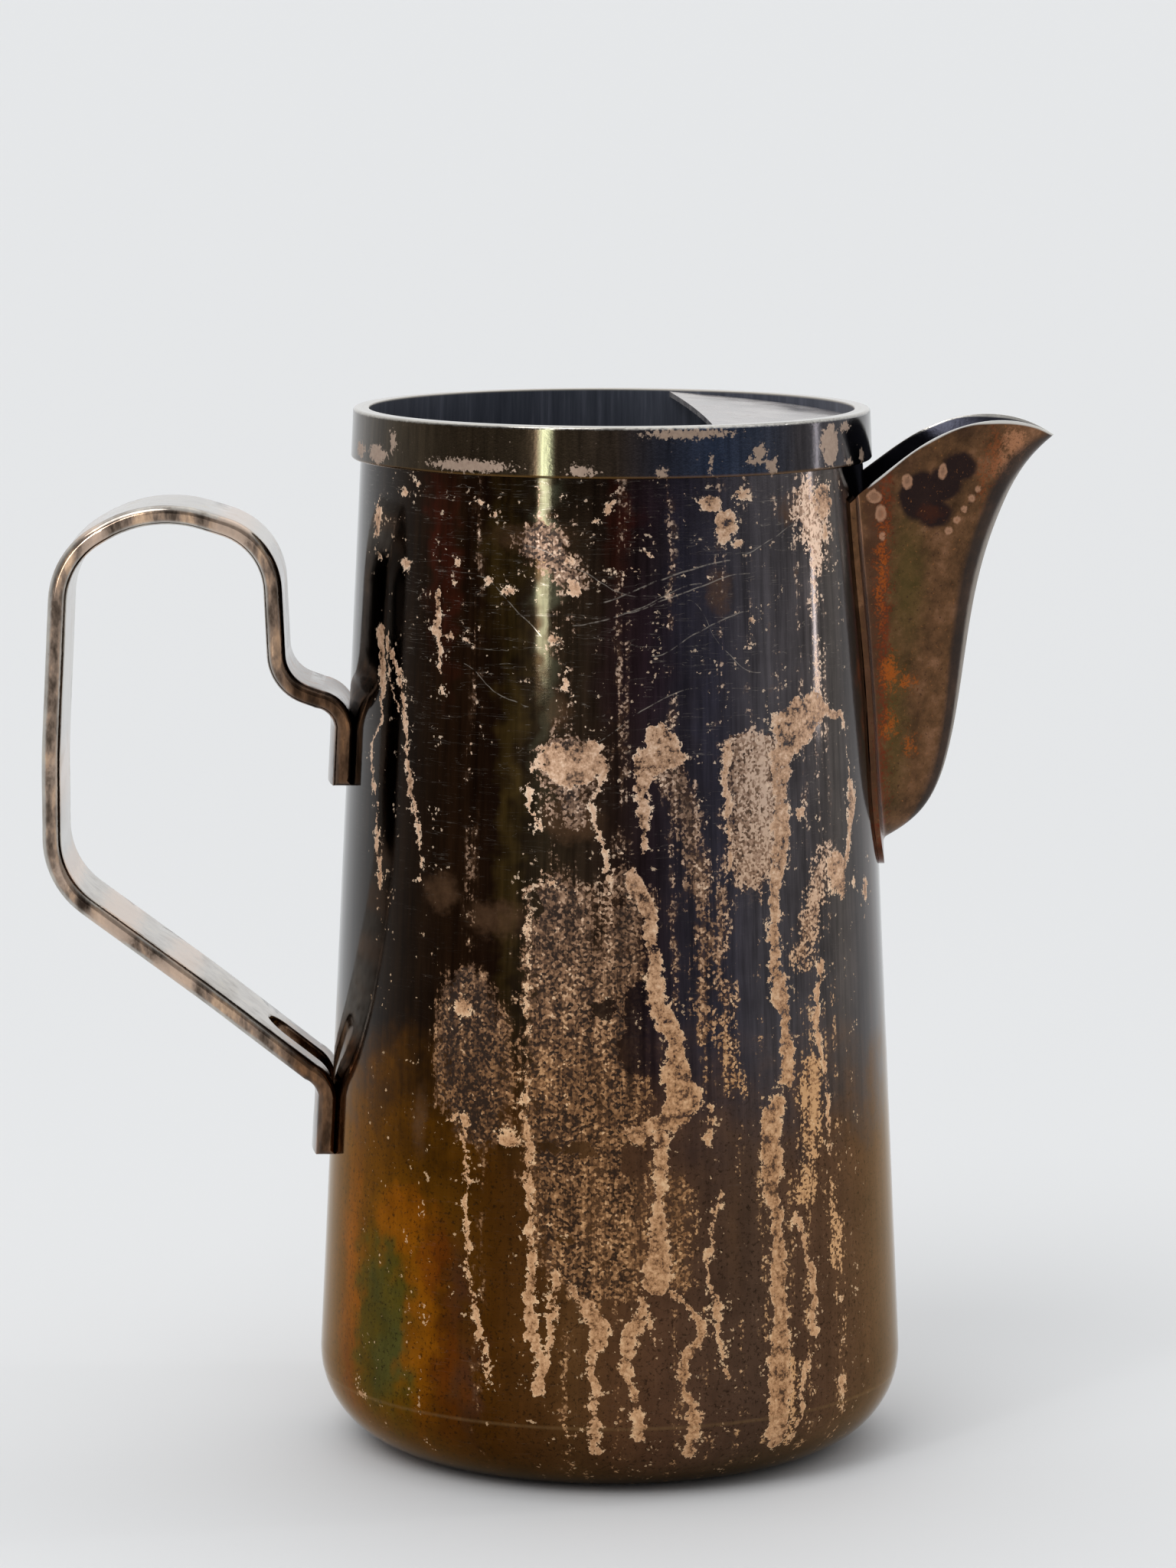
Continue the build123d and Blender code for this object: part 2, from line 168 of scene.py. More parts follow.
# Where the tarnish was eaten through: drips and patches as height, degrees round, half width.
drips = [
    [(161, -61.5, 0.8), (158, -61.6, 1.8), (153, -60.4, 1.6), (148, -60.3, 1.1), (143, -60, 0.8),
     (138, -63.7, 0.6), (133, -63.2, 0.8), (127.5, -60.6, 0.8), (118, -59.4, 0.9),
     (116, -58.4, 1.3), (112, -57.8, 0.6)],
    [(159, -58.5, 0.8), (156, -56.5, 1.6), (153, -53.6, 1.4), (147, -51.4, 1.1), (141, -50.4, 0.9),
     (137, -49.6, 0.7), (134, -48.2, 1.5), (131, -47.8, 1.2), (127, -46.2, 0.9), (121, -44.9, 0.6),
     (114, -43.8, 0.5)],
    [(157, -58.6, 0.8), (152, -57.6, 0.7), (149, -56.2, 0.8), (147, -54, 1.1), (145.5, -52.4, 0.6)],
    [(168.5, -41.5, 0.8), (166, -41.7, 1.6), (161, -41.3, 1.6), (159.5, -40.6, 0.8),
     (154, -40.4, 0.7)],
    [(152.5, -40.3, 0.5), (150, -40.1, 0.5)],
    [(140, -16.2, 0.4), (133.4, -17.7, 0.6), (130.3, -18.4, 0.8), (128.5, -16.8, 0.7),
     (125.8, -15.6, 0.6)],
    [(142, -4, 1), (141.3, -8, 5), (140.3, -9.3, 6.8), (138.5, -9, 7), (137, -9, 6.5)],
    [(141.5, -3.8, 1.6), (137.5, -2.4, 1.4), (133.4, -3.2, 0.7), (130.6, -4.3, 0.6),
     (126.4, -3.2, 0.7), (120, -1.8, 0.7), (116.7, -1.3, 1)],
    [(149.8, 48.3, 0.5), (149, 48, 2.5), (147.5, 46.5, 6.5), (146, 45.5, 8.5), (144, 43.5, 8),
     (142, 42.5, 6.5), (140, 40.5, 4.5), (138, 38.5, 3.5)],
    [(146.5, 53, 1.5), (145, 56, 2.5), (143.8, 58.5, 1.2), (142, 59.3, 0.4)],
    [(143.5, 59.3, 0.6), (138, 60.8, 0.4), (134, 61.5, 0.5), (130, 62, 1.6), (126, 62.3, 2),
     (122, 61, 1.2), (119, 59.8, 1), (116, 57.5, 1.8), (112, 56.5, 2.3), (110, 56.5, 1)],
    [(139, 37.6, 2), (134, 38, 2.6), (128, 37.6, 2.5), (122, 37.4, 2.4), (118, 36.6, 2)],
    [(141, 24.5, 1.6), (134, 24, 1.2), (126, 24.3, 1.1), (116, 24.5, 1)],
    [(120, 37, 1.8), (116, 36, 2), (112, 35.3, 1.8), (106, 35.2, 1.6), (100, 35.6, 2),
     (95, 36.2, 2.6), (91, 36.8, 2.2), (87, 37, 1.6), (83, 38, 2.2), (78, 38, 2.2)],
    [(75, 34.5, 1.2), (71, 33.3, 2.5), (65, 33, 2.7), (58, 33.3, 2.3), (52, 34, 1.8), (47, 34.3, 2),
     (40, 34.4, 2.4), (33, 34.6, 2.3), (27, 34.2, 2.8), (20, 33.8, 3), (14, 34, 2.8), (9, 34.5, 2)],
    [(25, 40.6, 0.5), (23, 40.2, 1.2), (20, 39.6, 0.8), (15, 39.6, 0.8), (12, 39.2, 1),
     (9, 38.5, 0.8)],
    [(145, 9.7, 0.8), (144, 9.8, 3.2), (141.5, 9.8, 4.2), (138.5, 9.4, 5.7), (136, 6.5, 3),
     (133, 5.7, 2), (128, 6.1, 1.5), (124, 6, 1.2), (121, 5.9, 0.5)],
    [(118, 3.5, 1.5), (115, 4.5, 2.5), (110, 7, 2), (105, 8, 1.6), (99, 8.2, 1.7), (95, 8.5, 2.2),
     (92, 10, 2.4), (88, 12, 2.5), (84, 12.5, 2.6), (80, 13, 3.5), (76, 14, 4), (73, 12.5, 4.5),
     (71, 8.5, 5), (69.5, 5, 3)],
    [(75, 18.8, 0.9), (70, 19.6, 1), (66, 19.3, 0.6)],
    [(69, 9.5, 1.9), (65, 9.4, 1.7), (58, 9, 1.2), (50, 8.7, 2.3), (44, 8.4, 3), (41, 8.2, 2.8)],
    [(40, 5.6, 1), (37, 5, 1.4), (34, 4.5, 2), (28.5, 2.5, 1.5), (24.8, 2.6, 1.3), (20.6, 4.3, 1.3),
     (16.5, 5.4, 1.2), (12, 4.8, 1.6)],
    [(35.5, 7, 0.8), (30, 7.8, 0.6)],
    [(39.5, 11.3, 1.2), (36.8, 15, 1.3), (32, 17, 1.6), (29.5, 15.9, 1.8), (26.3, 13.9, 1.4),
     (22, 13.2, 1.3), (18, 15, 1.5), (13.9, 15.4, 1.6), (9, 15, 1.6)],
    [(58, 21, 0.5), (57, 20.8, 0.8), (49, 19.7, 0.8), (43.3, 18.9, 0.7), (37.8, 20, 1),
     (30, 21.2, 0.7), (27, 21.4, 0.6)],
    [(52, 38.8, 1), (47.5, 40.3, 1), (42.6, 42.2, 1.2), (35, 42.8, 1.2), (29, 43.1, 1)],
    [(99, 48.3, 1.4), (89, 45.7, 1.1), (82, 46.8, 1), (79, 48.3, 1), (70, 49, 0.9),
     (61.5, 49.7, 0.7)],
    [(114, -17.3, 0.5), (105, -17.5, 0.5), (95, -17.6, 0.6), (85, -17.8, 0.5), (75, -17.8, 0.8),
     (66, -17.2, 1.2), (58, -17, 1.2), (50, -16.6, 1.1), (44, -15.8, 1.4), (38, -15.8, 1.6),
     (33, -15.8, 1.8), (29, -14.8, 1.2), (25, -14.2, 1.3), (21, -14.6, 0.8)],
    [(44, -11.8, 0.8), (38, -11.3, 1.2), (33, -11.5, 1), (29, -12.8, 0.8), (26, -13.4, 0.8)],
    [(41, -7.5, 1.5), (38, -5.5, 1.8), (35, -3.5, 2.4), (32, -2.8, 2.6), (29, -4, 1.3),
     (26, -4.3, 1), (22, -3.1, 1.2), (18, -3.4, 1), (14, -3.6, 1.2), (10, -3.6, 1.4)],
    [(71, -31, 1.4), (70, -30.7, 1.1), (61.5, -30.3, 0.9), (51, -30, 0.8), (43.3, -29.2, 0.8),
     (36.4, -28, 0.9), (30, -26.1, 0.8), (25.3, -25, 0.7), (20.5, -24.6, 0.5)],
]
drops = [
    (-66, 180, 2, 3.6), (-64, 173.5, 2.6, 1), (-52.3, 173, 2.5, 1.5), (-53.5, 186, 2.4, 1),
    (-48.3, 187.7, 1.5, 0.7), (-38.3, 160.3, 1.6, 1.2), (-33.5, 160.3, 1.7, 0.7),
    (-36.4, 174, 1.4, 0.7), (-37.2, 170.8, 0.8, 0.6), (-28, 171.5, 1.9, 0.7),
    (-35.3, 167.5, 0.6, 0.6), (-44, 167.4, 0.7, 0.7), (-52, 163.2, 0.6, 0.5),
    (-47, 163.5, 0.6, 0.5), (-23.1, 169.8, 2.5, 1.1), (-9.4, 170.3, 1.8, 1.4),
    (-27.3, 183.3, 1.3, 1.2), (-31.5, 185.3, 2.3, 0.7), (-10, 176, 2.3, 1.3), (-4.4, 182.3, 1.5, 1),
    (-1.5, 185.5, 1.5, 1.5), (-12.8, 161, 1.6, 1.5), (-10.8, 159.8, 0.8, 0.8),
    (-10.2, 153, 1.1, 2.6), (-11.8, 150.3, 0.6, 0.6), (-8.7, 150.2, 0.6, 0.5),
    (-7.4, 147, 0.6, 0.5), (-4.5, 144.4, 1.4, 0.4), (21.4, 186, 3.3, 2), (29, 187, 2.6, 1.2),
    (25, 181.6, 3.2, 3.2), (28, 177.8, 1.3, 1), (30.8, 163.5, 1.5, 1.3), (29.9, 158.4, 0.5, 0.4),
    (20.8, 171.9, 0.6, 0.5), (3.8, 174, 3.7, 0.8), (7.3, 177, 1.7, 0.9), (54, 184.6, 4.2, 3.3),
    (54.5, 179.5, 1.2, 2.5), (52.3, 175.7, 1, 0.8), (42.5, 127.5, 2, 1.2), (55, 115, 3.4, 4.5),
    (67.7, 110, 1.7, 2.5), (62, 112, 0.6, 1.2), (22.3, 23.3, 1.6, 1.3), (51, 17.7, 1.2, 2.3),
    (-21.5, 68.3, 3, 1.5), (-32, 92.4, 1.9, 2.4), (-33.8, 71.5, 3, 1), (-58.2, 15.3, 1.5, 1.4),
    (-7.5, 13, 1.2, 1), (-12.6, 116.3, 2.2, 0.9), (51.5, 34, 0.5, 0.4), (51.4, 26, 0.5, 0.5),
]
# Where it was only pitted: the same, filled with fine pale grains.
etched = [
    [(143, 30, 3), (141.5, 31, 8), (139, 32, 9), (134, 32, 8.6), (130, 31.2, 8), (126, 30.8, 7.8),
     (122, 31.2, 8), (118, 30.5, 7.5), (116, 30.5, 5), (112, 31, 2)],
    [(139, -9, 7), (136, -9, 6.5), (133.5, -9, 5), (128, -9, 3.5)],
    [(139, 12, 3), (136, 13, 3), (133, 13.6, 2.9), (130, 15, 2.6), (125, 15.9, 2.4),
     (120, 16.4, 2.4), (115, 17.4, 2), (110, 18.6, 1.3), (106, 19.5, 2), (101, 18.5, 1.8),
     (95, 18.6, 1.6), (90, 19, 1.2), (86, 19, 0.5)],
    [(115, 23.5, 0.8), (110, 22.5, 1), (105, 21.8, 1), (100, 21.5, 1.2), (95, 22.8, 1.4),
     (88, 23, 1.3), (76, 25.5, 0.7)],
    [(116, -12, 4), (113, -10.5, 7.5), (105, -10, 8.6), (95, -9.6, 8.8), (85, -9.6, 9),
     (75, -9.6, 9), (68, -10, 9), (60, -9.8, 8), (50, -9, 7.2), (44, -7, 7), (40, -5, 5)],
    [(118, 2, 3), (114, 3, 5), (105, 2, 5.5), (95, 1.5, 5.5), (85, 1.5, 6), (75, 1, 6), (70, 1, 6)],
    [(182, -17, 2), (180, -16.5, 5.5), (177, -15.5, 6.5), (174, -12.5, 5), (171, -9.5, 2.5)],
    [(187, 47, 3), (184, 48, 5), (180, 50, 6), (176, 51, 4), (172, 52, 1.5)],
    [(70, 1, 6), (60, 1, 6), (50, 1, 5.5), (41, 1, 4.5)],
    [(62, 12, 2), (50, 12.5, 3), (41, 12, 3)],
    [(99, -31, 3), (95, -31, 6.5), (88, -30, 8.6), (80, -29.5, 9), (73, -29.5, 8), (69, -27, 6)],
    [(121, 51, 2), (114, 48, 4), (106, 45, 4), (98, 42, 2.5)],
    [(24, 37.5, 1.5), (16, 37.5, 1.8), (9, 37, 1.5)],
    [(80, 44.5, 2.5), (76, 44, 3.4), (70, 43.8, 3.4), (65, 43, 2.8), (60, 42.8, 2.4),
     (55, 41.5, 1.8)],
    [(57, 49, 1), (48, 50, 1.6), (40, 50, 1)],
]
faint = [
    (-17.5, 179.5, 7.5, 1.8), (-12, 148, 2, 3), (-25, 109, 6, 3), (-38, 113, 4, 3),
    (23.3, 169.2, 2.4, 3.4), (43, 183.7, 3.8, 2.3), (-42.2, 69.5, 1.5, 4.5), (-9, 128, 6, 4),
    (24, 50, 1, 7),
]
whole = [
    (38.8, 88, 1, 2.3), (4.4, 64.5, 2.6, 3.5), (4.8, 93.5, 2.6, 4), (5.4, 86, 4.2, 6),
    (-2.4, 92.8, 3, 2.4), (37.6, 63, 1.6, 2.9), (-13, 66.8, 2.9, 1.3), (-6.3, 66.8, 2.7, 1.8),
    (-16.2, 112, 1.2, 2.5), (-9.6, 49.8, 1.6, 0.5), (-1.5, 46, 1.2, 0.5), (-8, 35, 2.2, 4),
    (-55.9, 152, 0.8, 2.2), (29.5, 110, 3, 4), (15, 67, 3.4, 5),
]
# Tarnished silver plate is a polished metal under a film that is thin enough to show colours. It
# gives the eye a dark mirror in brown, black, blue and gold, with matt tan marks where it failed.
plate, tree, mm, normal = surface("tarnished silver plate")
turn, height, rear = round_the_wall(tree, mm)

# The rear carries its own run of marks, turned round and 14 mm lower than the front's.
hand = add(tree, "ShaderNodeMath", {"operation": "MULTIPLY_ADD", 1: -2.0, 2: 1.0}, {0: rear})
marks_turn = add(tree, "ShaderNodeMath", {"operation": "MULTIPLY"}, {0: turn, 1: hand.outputs[0]})
marks_height = add(tree, "ShaderNodeMath", {"operation": "MULTIPLY_ADD", 1: 14.0},
    {0: rear, 2: height})
flat = add(tree, "ShaderNodeCombineXYZ",
    links={0: marks_turn.outputs[0], 1: marks_height.outputs[0]})
# Noise scales are counts in a millimetre. Outlines wander at 5 mm and again at 1.2 mm.
wander = wobble(tree, mm, {"Scale": 0.2, "Detail": 2.0}, 1.7, 2.0)
ragged = wobble(tree, mm, {"Scale": 0.8, "Detail": 3.0, "Roughness": 0.6}, 1.3, 1.8)
at = add(tree, "ShaderNodeVectorMath", {"operation": "ADD"}, {0: flat.outputs[0], 1: wander})
at = add(tree, "ShaderNodeVectorMath", {"operation": "ADD"},
    {0: at.outputs[0], 1: ragged}).outputs[0]

bare = stain(tree, at, drips, drops)
pitted = stain(tree, at, etched)
hazy = stain(tree, at, spots=faint)
kept = stain(tree, at, spots=whole)

# Plumb streaks left by wiping, about 1.5 mm wide.
wiped = add(tree, "ShaderNodeVectorMath", {"operation": "MULTIPLY", 1: (1.0, 1.0, 0.02)}, {0: mm})
wiped = add(tree, "ShaderNodeTexNoise", {"Scale": 0.65, "Detail": 4.0, "Roughness": 0.7},
    {"Vector": wiped.outputs[0]}).outputs[0]
# Grains of 0.4 mm, about twice as coarse as the real ones so that they show, crumbs of 0.8 mm,
# drifts of 2.6 mm, clouds of 9 mm, and separate grains in cells of 0.5 mm.
grain, crumb, drift, cloud = (
    add(tree, "ShaderNodeTexNoise", {"Scale": scale, "Detail": detail, "Roughness": roughness},
        {"Vector": mm}).outputs[0]
    for scale, detail, roughness in ((2.3, 4.0, 0.7), (1.3, 5.0, 0.75), (0.38, 4.0, 0.65),
        (0.11, 3.0, 0.6)))
cells = add(tree, "ShaderNodeTexVoronoi", {"Scale": 2.1}, {"Vector": mm})
cells = add(tree, "ShaderNodeSeparateColor", links={0: cells.outputs["Color"]}).outputs[0]

# Eaten marks have crisp, bitten edges. Pores lie in clusters in them.
edge = bitten(tree, bare, (grain, 0.8), (crumb, 3.2), (drift, 4.2))
solid = add(tree, "ShaderNodeMapRange", {1: 4.4, 2: 4.62, "interpolation_type": "SMOOTHSTEP"},
    {0: edge})
pores = bitten(tree, crumb, (drift, 0.9))
pores = add(tree, "ShaderNodeMapRange", {1: 0.80, 2: 0.90, 3: 0.12, 4: 1.0}, {0: pores})
solid = add(tree, "ShaderNodeMath", {"operation": "MULTIPLY"},
    {0: solid.outputs[0], 1: pores.outputs[0]})
rim = add(tree, "ShaderNodeMapRange",
    {1: 4.5, 2: 5.2, 3: 0.13, 4: 0.0, "interpolation_type": "SMOOTHSTEP"}, {0: edge})
rim = bitten(tree, rim.outputs[0], (crumb, 0.7), (drift, 0.7))
# The pitted patches break up into grains at their edges.
loose = bitten(tree, pitted, (drift, 9.0), (wiped, 10.0), (cloud, 6.0))
loose = add(tree, "ShaderNodeMath", {"operation": "SUBTRACT", 1: 12.9}, {0: loose}).outputs[0]
speck = bitten(tree, loose, (cells, 4.5))
speck = add(tree, "ShaderNodeMapRange",
    {1: 2.2, 2: 3.4, 4: 0.92, "interpolation_type": "SMOOTHSTEP"}, {0: speck})
etched_only = add(tree, "ShaderNodeMapRange",
    {1: -3.0, 2: -0.5, "interpolation_type": "SMOOTHSTEP"}, {0: pitted})
speck = add(tree, "ShaderNodeMath", {"operation": "MULTIPLY"},
    {0: speck.outputs[0], 1: etched_only.outputs[0]})
# Islands of sound tarnish stand in both.
islands = bitten(tree, kept, (drift, 3.6), (crumb, 1.6))
untouched = {1: 2.5, 2: 2.75, 3: 1.0, 4: 0.03, "interpolation_type": "SMOOTHSTEP"}
untouched = add(tree, "ShaderNodeMapRange", untouched, {0: islands}).outputs[0]
speck = add(tree, "ShaderNodeMath", {"operation": "MULTIPLY"},
    {0: speck.outputs[0], 1: untouched}).outputs[0]
marked = add(tree, "ShaderNodeMath", {"operation": "MULTIPLY"},
    {0: solid.outputs[0], 1: untouched}).outputs[0]

# A thin brown bloom lies under the pitted patches and the faint smears.
bloom = add(tree, "ShaderNodeMapRange",
    {1: -2.0, 2: 2.6, 3: 0.0, 4: 1.0, "interpolation_type": "SMOOTHSTEP"}, {0: loose})
smear = add(tree, "ShaderNodeMapRange",
    {1: -1.6, 2: 1.4, 3: 0.0, 4: 1.0, "interpolation_type": "SMOOTHSTEP"}, {0: hazy})
bloom = add(tree, "ShaderNodeMath", {"operation": "MAXIMUM"},
    {0: bloom.outputs[0], 1: smear.outputs[0]})
bloom = add(tree, "ShaderNodeMath", {"operation": "MULTIPLY"}, {0: bloom.outputs[0], 1: untouched})
bloom = add(tree, "ShaderNodeMath", {"operation": "MULTIPLY"},
    {0: bloom.outputs[0], 1: drift}).outputs[0]

# Tarnish colours round the wall, from the handle at 0 past the front at 0.5 to the spout at 1:
# brown-black to blue-black above, bronze where it stood in the wet. The warm bronze and orange of
# the lower body, strongest on the handle side, is partly tarnish and partly a painted warm
# reflection.
share = add(tree, "ShaderNodeMapRange", {1: -90.0, 2: 90.0}, {0: turn}).outputs[0]
above = add(tree, "ShaderNodeValToRGB", {"stops": [
    (0.02, "#1e150e"), (0.99, "#2c1d14"), (0.18, "#20160d"), (0.24, "#1c1108"), (0.31, "#1e1108"),
    (0.37, "#150b06"), (0.41, "#2a2116"), (0.46, "#2a2017"), (0.50, "#231813"), (0.54, "#241b1e"),
    (0.58, "#29252b"), (0.63, "#322f36"), (0.69, "#4a4649"), (0.75, "#484344"), (0.81, "#4a433f"),
    (0.86, "#362e2d"), (0.90, "#302018")]}, {0: share})
low_tarnish_and_reflection = add(tree, "ShaderNodeValToRGB", {"stops": [
    (0.02, "#4c3012"), (0.99, "#55391f"), (0.12, "#6a400f"), (0.17, "#6a3f0a"), (0.24, "#5b3606"),
    (0.28, "#573406"), (0.33, "#4f2f09"), (0.37, "#47290a"), (0.42, "#4e3116"), (0.46, "#563a20"),
    (0.50, "#573b26"), (0.55, "#563c2b"), (0.60, "#503a2c"), (0.66, "#4f3b2e"), (0.73, "#553d2d"),
    (0.80, "#593f2c"), (0.86, "#5c3f2a"), (0.90, "#5e4029")]}, {0: share})
wavy_height = bitten(tree, height, (cloud, -34.0))
lower_body = add(tree, "ShaderNodeMapRange", {1: 74.0, 2: 40.0, "interpolation_type": "SMOOTHSTEP"},
    {0: wavy_height}).outputs[0]
film_and_painted_light = add(tree, "ShaderNodeMix", {"data_type": "RGBA"},
    {0: lower_body, 6: above.outputs[0], 7: low_tarnish_and_reflection.outputs[0]})

# Thin-film colours: low on the handle side green over olive gold, ringed with orange, red and
# violet, and above them blue, plum, wine and straw. They are ovals, as a stain's spots are.
soft = add(tree, "ShaderNodeVectorMath", {"operation": "MULTIPLY_ADD", 1: (3.6, 3.6, 0)},
    {0: wander, 2: flat.outputs[0]}).outputs[0]
for tint, spots, strength in (
    ("#5c4a0c", [(-49, 32, 11, 22)], 0.5),  # olive
    ("#38431a", [(-51, 30, 9, 14)], 0.42),  # green
    ("#26432c", [(-49, 25, 4.4, 8), (-53, 38, 3, 5)], 0.3),  # teal
    # The orange ovals low on the handle side are partly tarnish and partly a painted warm
    # reflection.
    ("#9a5006", [(-64, 38, 3, 18), (-41, 32, 4, 17), (-47, 50, 7, 6)], 0.5),  # orange
    ("#66260c", [(-33.5, 24, 2.6, 10), (-37, 44, 3, 6), (-64, 18, 2, 6)], 0.4),  # red
    ("#3c2226", [(-28.5, 21, 1.8, 7), (-31, 40, 1.6, 5)], 0.4),  # violet
    ("#2c3a5a", [(15, 176, 3, 20), (21, 150, 2.4, 20)], 0.06),  # blue
    ("#33202c", [(4, 158, 8, 13), (9, 186, 6, 4)], 0.15),  # plum
    ("#48190f", [(-42, 178, 1.6, 10), (-38, 172, 1.2, 9), (1, 184, 1.4, 6)], 0.5),  # wine
    ("#6a5426", [(-22, 138, 1.6, 34), (-26, 176, 2, 10)], 0.22),  # straw
    # The pale streak 15 degrees left of the front, near the top, is a painted highlight where the
    # left lamp's line falls on the wall.
    ("#85876c", [(-14.6, 186, 0.7, 14)], 0.4),  # painted highlight
):
    reach = stain(tree, soft, spots=spots)
    reach = add(tree, "ShaderNodeMapRange",
        {1: -3.0, 2: 2.6, 3: 0.0, 4: strength, "interpolation_type": "SMOOTHSTEP"}, {0: reach})
    film_and_painted_light = add(tree, "ShaderNodeMix", {"data_type": "RGBA", 7: linear(tint)},
        {0: reach.outputs[0], 6: film_and_painted_light.outputs[2]})

# The streaks show on the upper body, and darker and lighter clouds of 9 mm all over.
plumb = add(tree, "ShaderNodeMapRange", {1: 0.3, 2: 0.7, 3: -0.42, 4: 0.42}, {0: wiped})
faded = add(tree, "ShaderNodeMapRange", {1: 0.0, 2: 1.0, 3: 1.0, 4: 0.3}, {0: lower_body})
tone = add(tree, "ShaderNodeMath", {"operation": "MULTIPLY_ADD", 2: 1.0},
    {0: plumb.outputs[0], 1: faded.outputs[0]})
cloudy = add(tree, "ShaderNodeMapRange", {1: 0.3, 2: 0.7, 3: 0.8, 4: 1.2}, {0: cloud})
tone = add(tree, "ShaderNodeMath", {"operation": "MULTIPLY"},
    {0: tone.outputs[0], 1: cloudy.outputs[0]})
film_and_painted_light = add(tree, "ShaderNodeVectorMath", {"operation": "SCALE"},
    {0: film_and_painted_light.outputs[2], 3: tone.outputs[0]})

# Dark flecks of 1 mm pepper the wetted part.
pepper = add(tree, "ShaderNodeMapRange", {1: 0.54, 2: 0.63, 3: 0.0, 4: 0.7}, {0: crumb})
pepper = add(tree, "ShaderNodeMath", {"operation": "MULTIPLY"}, {0: pepper.outputs[0], 1: lower_body})
film_and_painted_light = add(tree, "ShaderNodeMix", {"data_type": "RGBA", 7: linear("#171009")},
    {0: pepper.outputs[0], 6: film_and_painted_light.outputs[0]})

# Single bared grains, thicker near the drips.
near = add(tree, "ShaderNodeMapRange", {1: -7.0, 2: -0.5, 3: 0.0, 4: 0.04}, {0: bare})
dust = bitten(tree, near.outputs[0], (cells, 0.12), (drift, 0.2))
dust = add(tree, "ShaderNodeMapRange", {1: 0.261, 2: 0.269, 4: 0.6}, {0: dust})
marked = add(tree, "ShaderNodeMath", {"operation": "MAXIMUM"},
    {0: marked, 1: dust.outputs[0]}).outputs[0]

# Bared metal is dull pink-tan, yellower low down, paler at the rim of each mark.
tan = add(tree, "ShaderNodeValToRGB", {"stops": [
    (0.52, "#4c3524"), (0.93, "#f2d6ba"), (0.61, "#8a684f"), (0.69, "#b58d6d"), (0.79, "#d8b192")]},
    {0: rim})
lower = add(tree, "ShaderNodeMapRange", {1: 130.0, 2: 80.0}, {0: height}).outputs[0]
tan = add(tree, "ShaderNodeMix",
    {"data_type": "RGBA", "blend_type": "MULTIPLY", 7: linear("#fff2da")},
    {0: lower, 6: tan.outputs[0]})
# Pitted metal is a mixture of grains: sound dark film, brown stain and golden bare metal.
mixed = add(tree, "ShaderNodeMath", {"operation": "MULTIPLY_ADD", 1: 0.8, 2: -1.64}, {0: cells})
mixed = bitten(tree, mixed.outputs[0], (drift, 1.3), (wiped, 1.4))
worse = add(tree, "ShaderNodeMapRange", {1: -90.0, 2: 90.0}, {0: marks_turn.outputs[0]})
worse = add(tree, "ShaderNodeFloatCurve",
    {"points": [(0.0, 0.06), (0.33, 0.06), (0.42, 0.22), (0.60, 0.3), (0.70, 0.7), (1.0, 0.6)]},
    {1: worse.outputs[0]})
mixed = add(tree, "ShaderNodeMath", {"operation": "ADD"}, {0: mixed, 1: worse.outputs[0]})
etch = add(tree, "ShaderNodeValToRGB", {"stops": [
    (0.08, "#281b14"), (0.92, "#dcbda5"), (0.24, "#4a372b"), (0.40, "#6e5443"), (0.57, "#90725c"),
    (0.74, "#b0907a")]}, {0: mixed.outputs[0]})
etch = add(tree, "ShaderNodeMix",
    {"data_type": "RGBA", "blend_type": "MULTIPLY", 7: linear("#ffe6bb")},
    {0: lower, 6: etch.outputs[0]})
film_and_painted_light = add(tree, "ShaderNodeMix", {"data_type": "RGBA", 7: linear("#5e4430")},
    {0: bloom, 6: film_and_painted_light.outputs[2]})
film_and_painted_light = add(tree, "ShaderNodeMix", {"data_type": "RGBA"},
    {0: speck, 6: film_and_painted_light.outputs[2], 7: etch.outputs[2]})

# Long hairline scratches, nearly level, on the upper half: degrees round, height above 150,
# half width. Real ones are 0.1 mm wide, and these are about three times that so that they show.
# Short ones, like rubbed hair, lie between them.
level = add(tree, "ShaderNodeMath", {"operation": "SUBTRACT", 1: 150.0},
    {0: marks_height.outputs[0]})
level = add(tree, "ShaderNodeCombineXYZ", links={0: level.outputs[0], 1: marks_turn.outputs[0]})
level = add(tree, "ShaderNodeVectorMath", {"operation": "MULTIPLY_ADD", 1: (0.25, 0.25, 0)},
    {0: wander, 2: level.outputs[0]})
hair = stain(tree, level.outputs[0], [
    [(26, 25, 0.07), (10, 22, 0.12), (-6, 17.5, 0.08)],
    [(31, 22.5, 0.05), (12, 18.6, 0.1), (2, 16, 0.06)],
    [(19, 21, 0.05), (4, 16.4, 0.1), (-9, 13.6, 0.05)],
    [(-12, 10, 0.06), (-20, 15, 0.1), (-31, 22, 0.05)],
    [(30, 15.4, 0.05), (18, 12, 0.09), (8, 8, 0.05)],
    [(5, 19, 0.05), (-8, 24, 0.08), (-20, 28, 0.05)],
    [(45, 31, 0.05), (38, 29, 0.08), (29, 26, 0.05)],
    [(18, 2, 0.05), (6, -2, 0.08), (-6, -8, 0.05)],
    [(-14, -2, 0.05), (-24, 0, 0.07), (-36, 6, 0.05)],
    [(33, 4, 0.05), (24, 9, 0.07), (16, 18, 0.05)]])
hair = add(tree, "ShaderNodeMapRange", {1: -0.08, 2: 0.06, 4: 0.6}, {0: hair})
slant = add(tree, "ShaderNodeCombineXYZ", links={0: turn, 1: height})
slant = add(tree, "ShaderNodeMapping",
    {"vector_type": "POINT", 2: (0, 0, radians(-16)), 3: (0.07, 1.1, 1)}, {0: slant.outputs[0]})
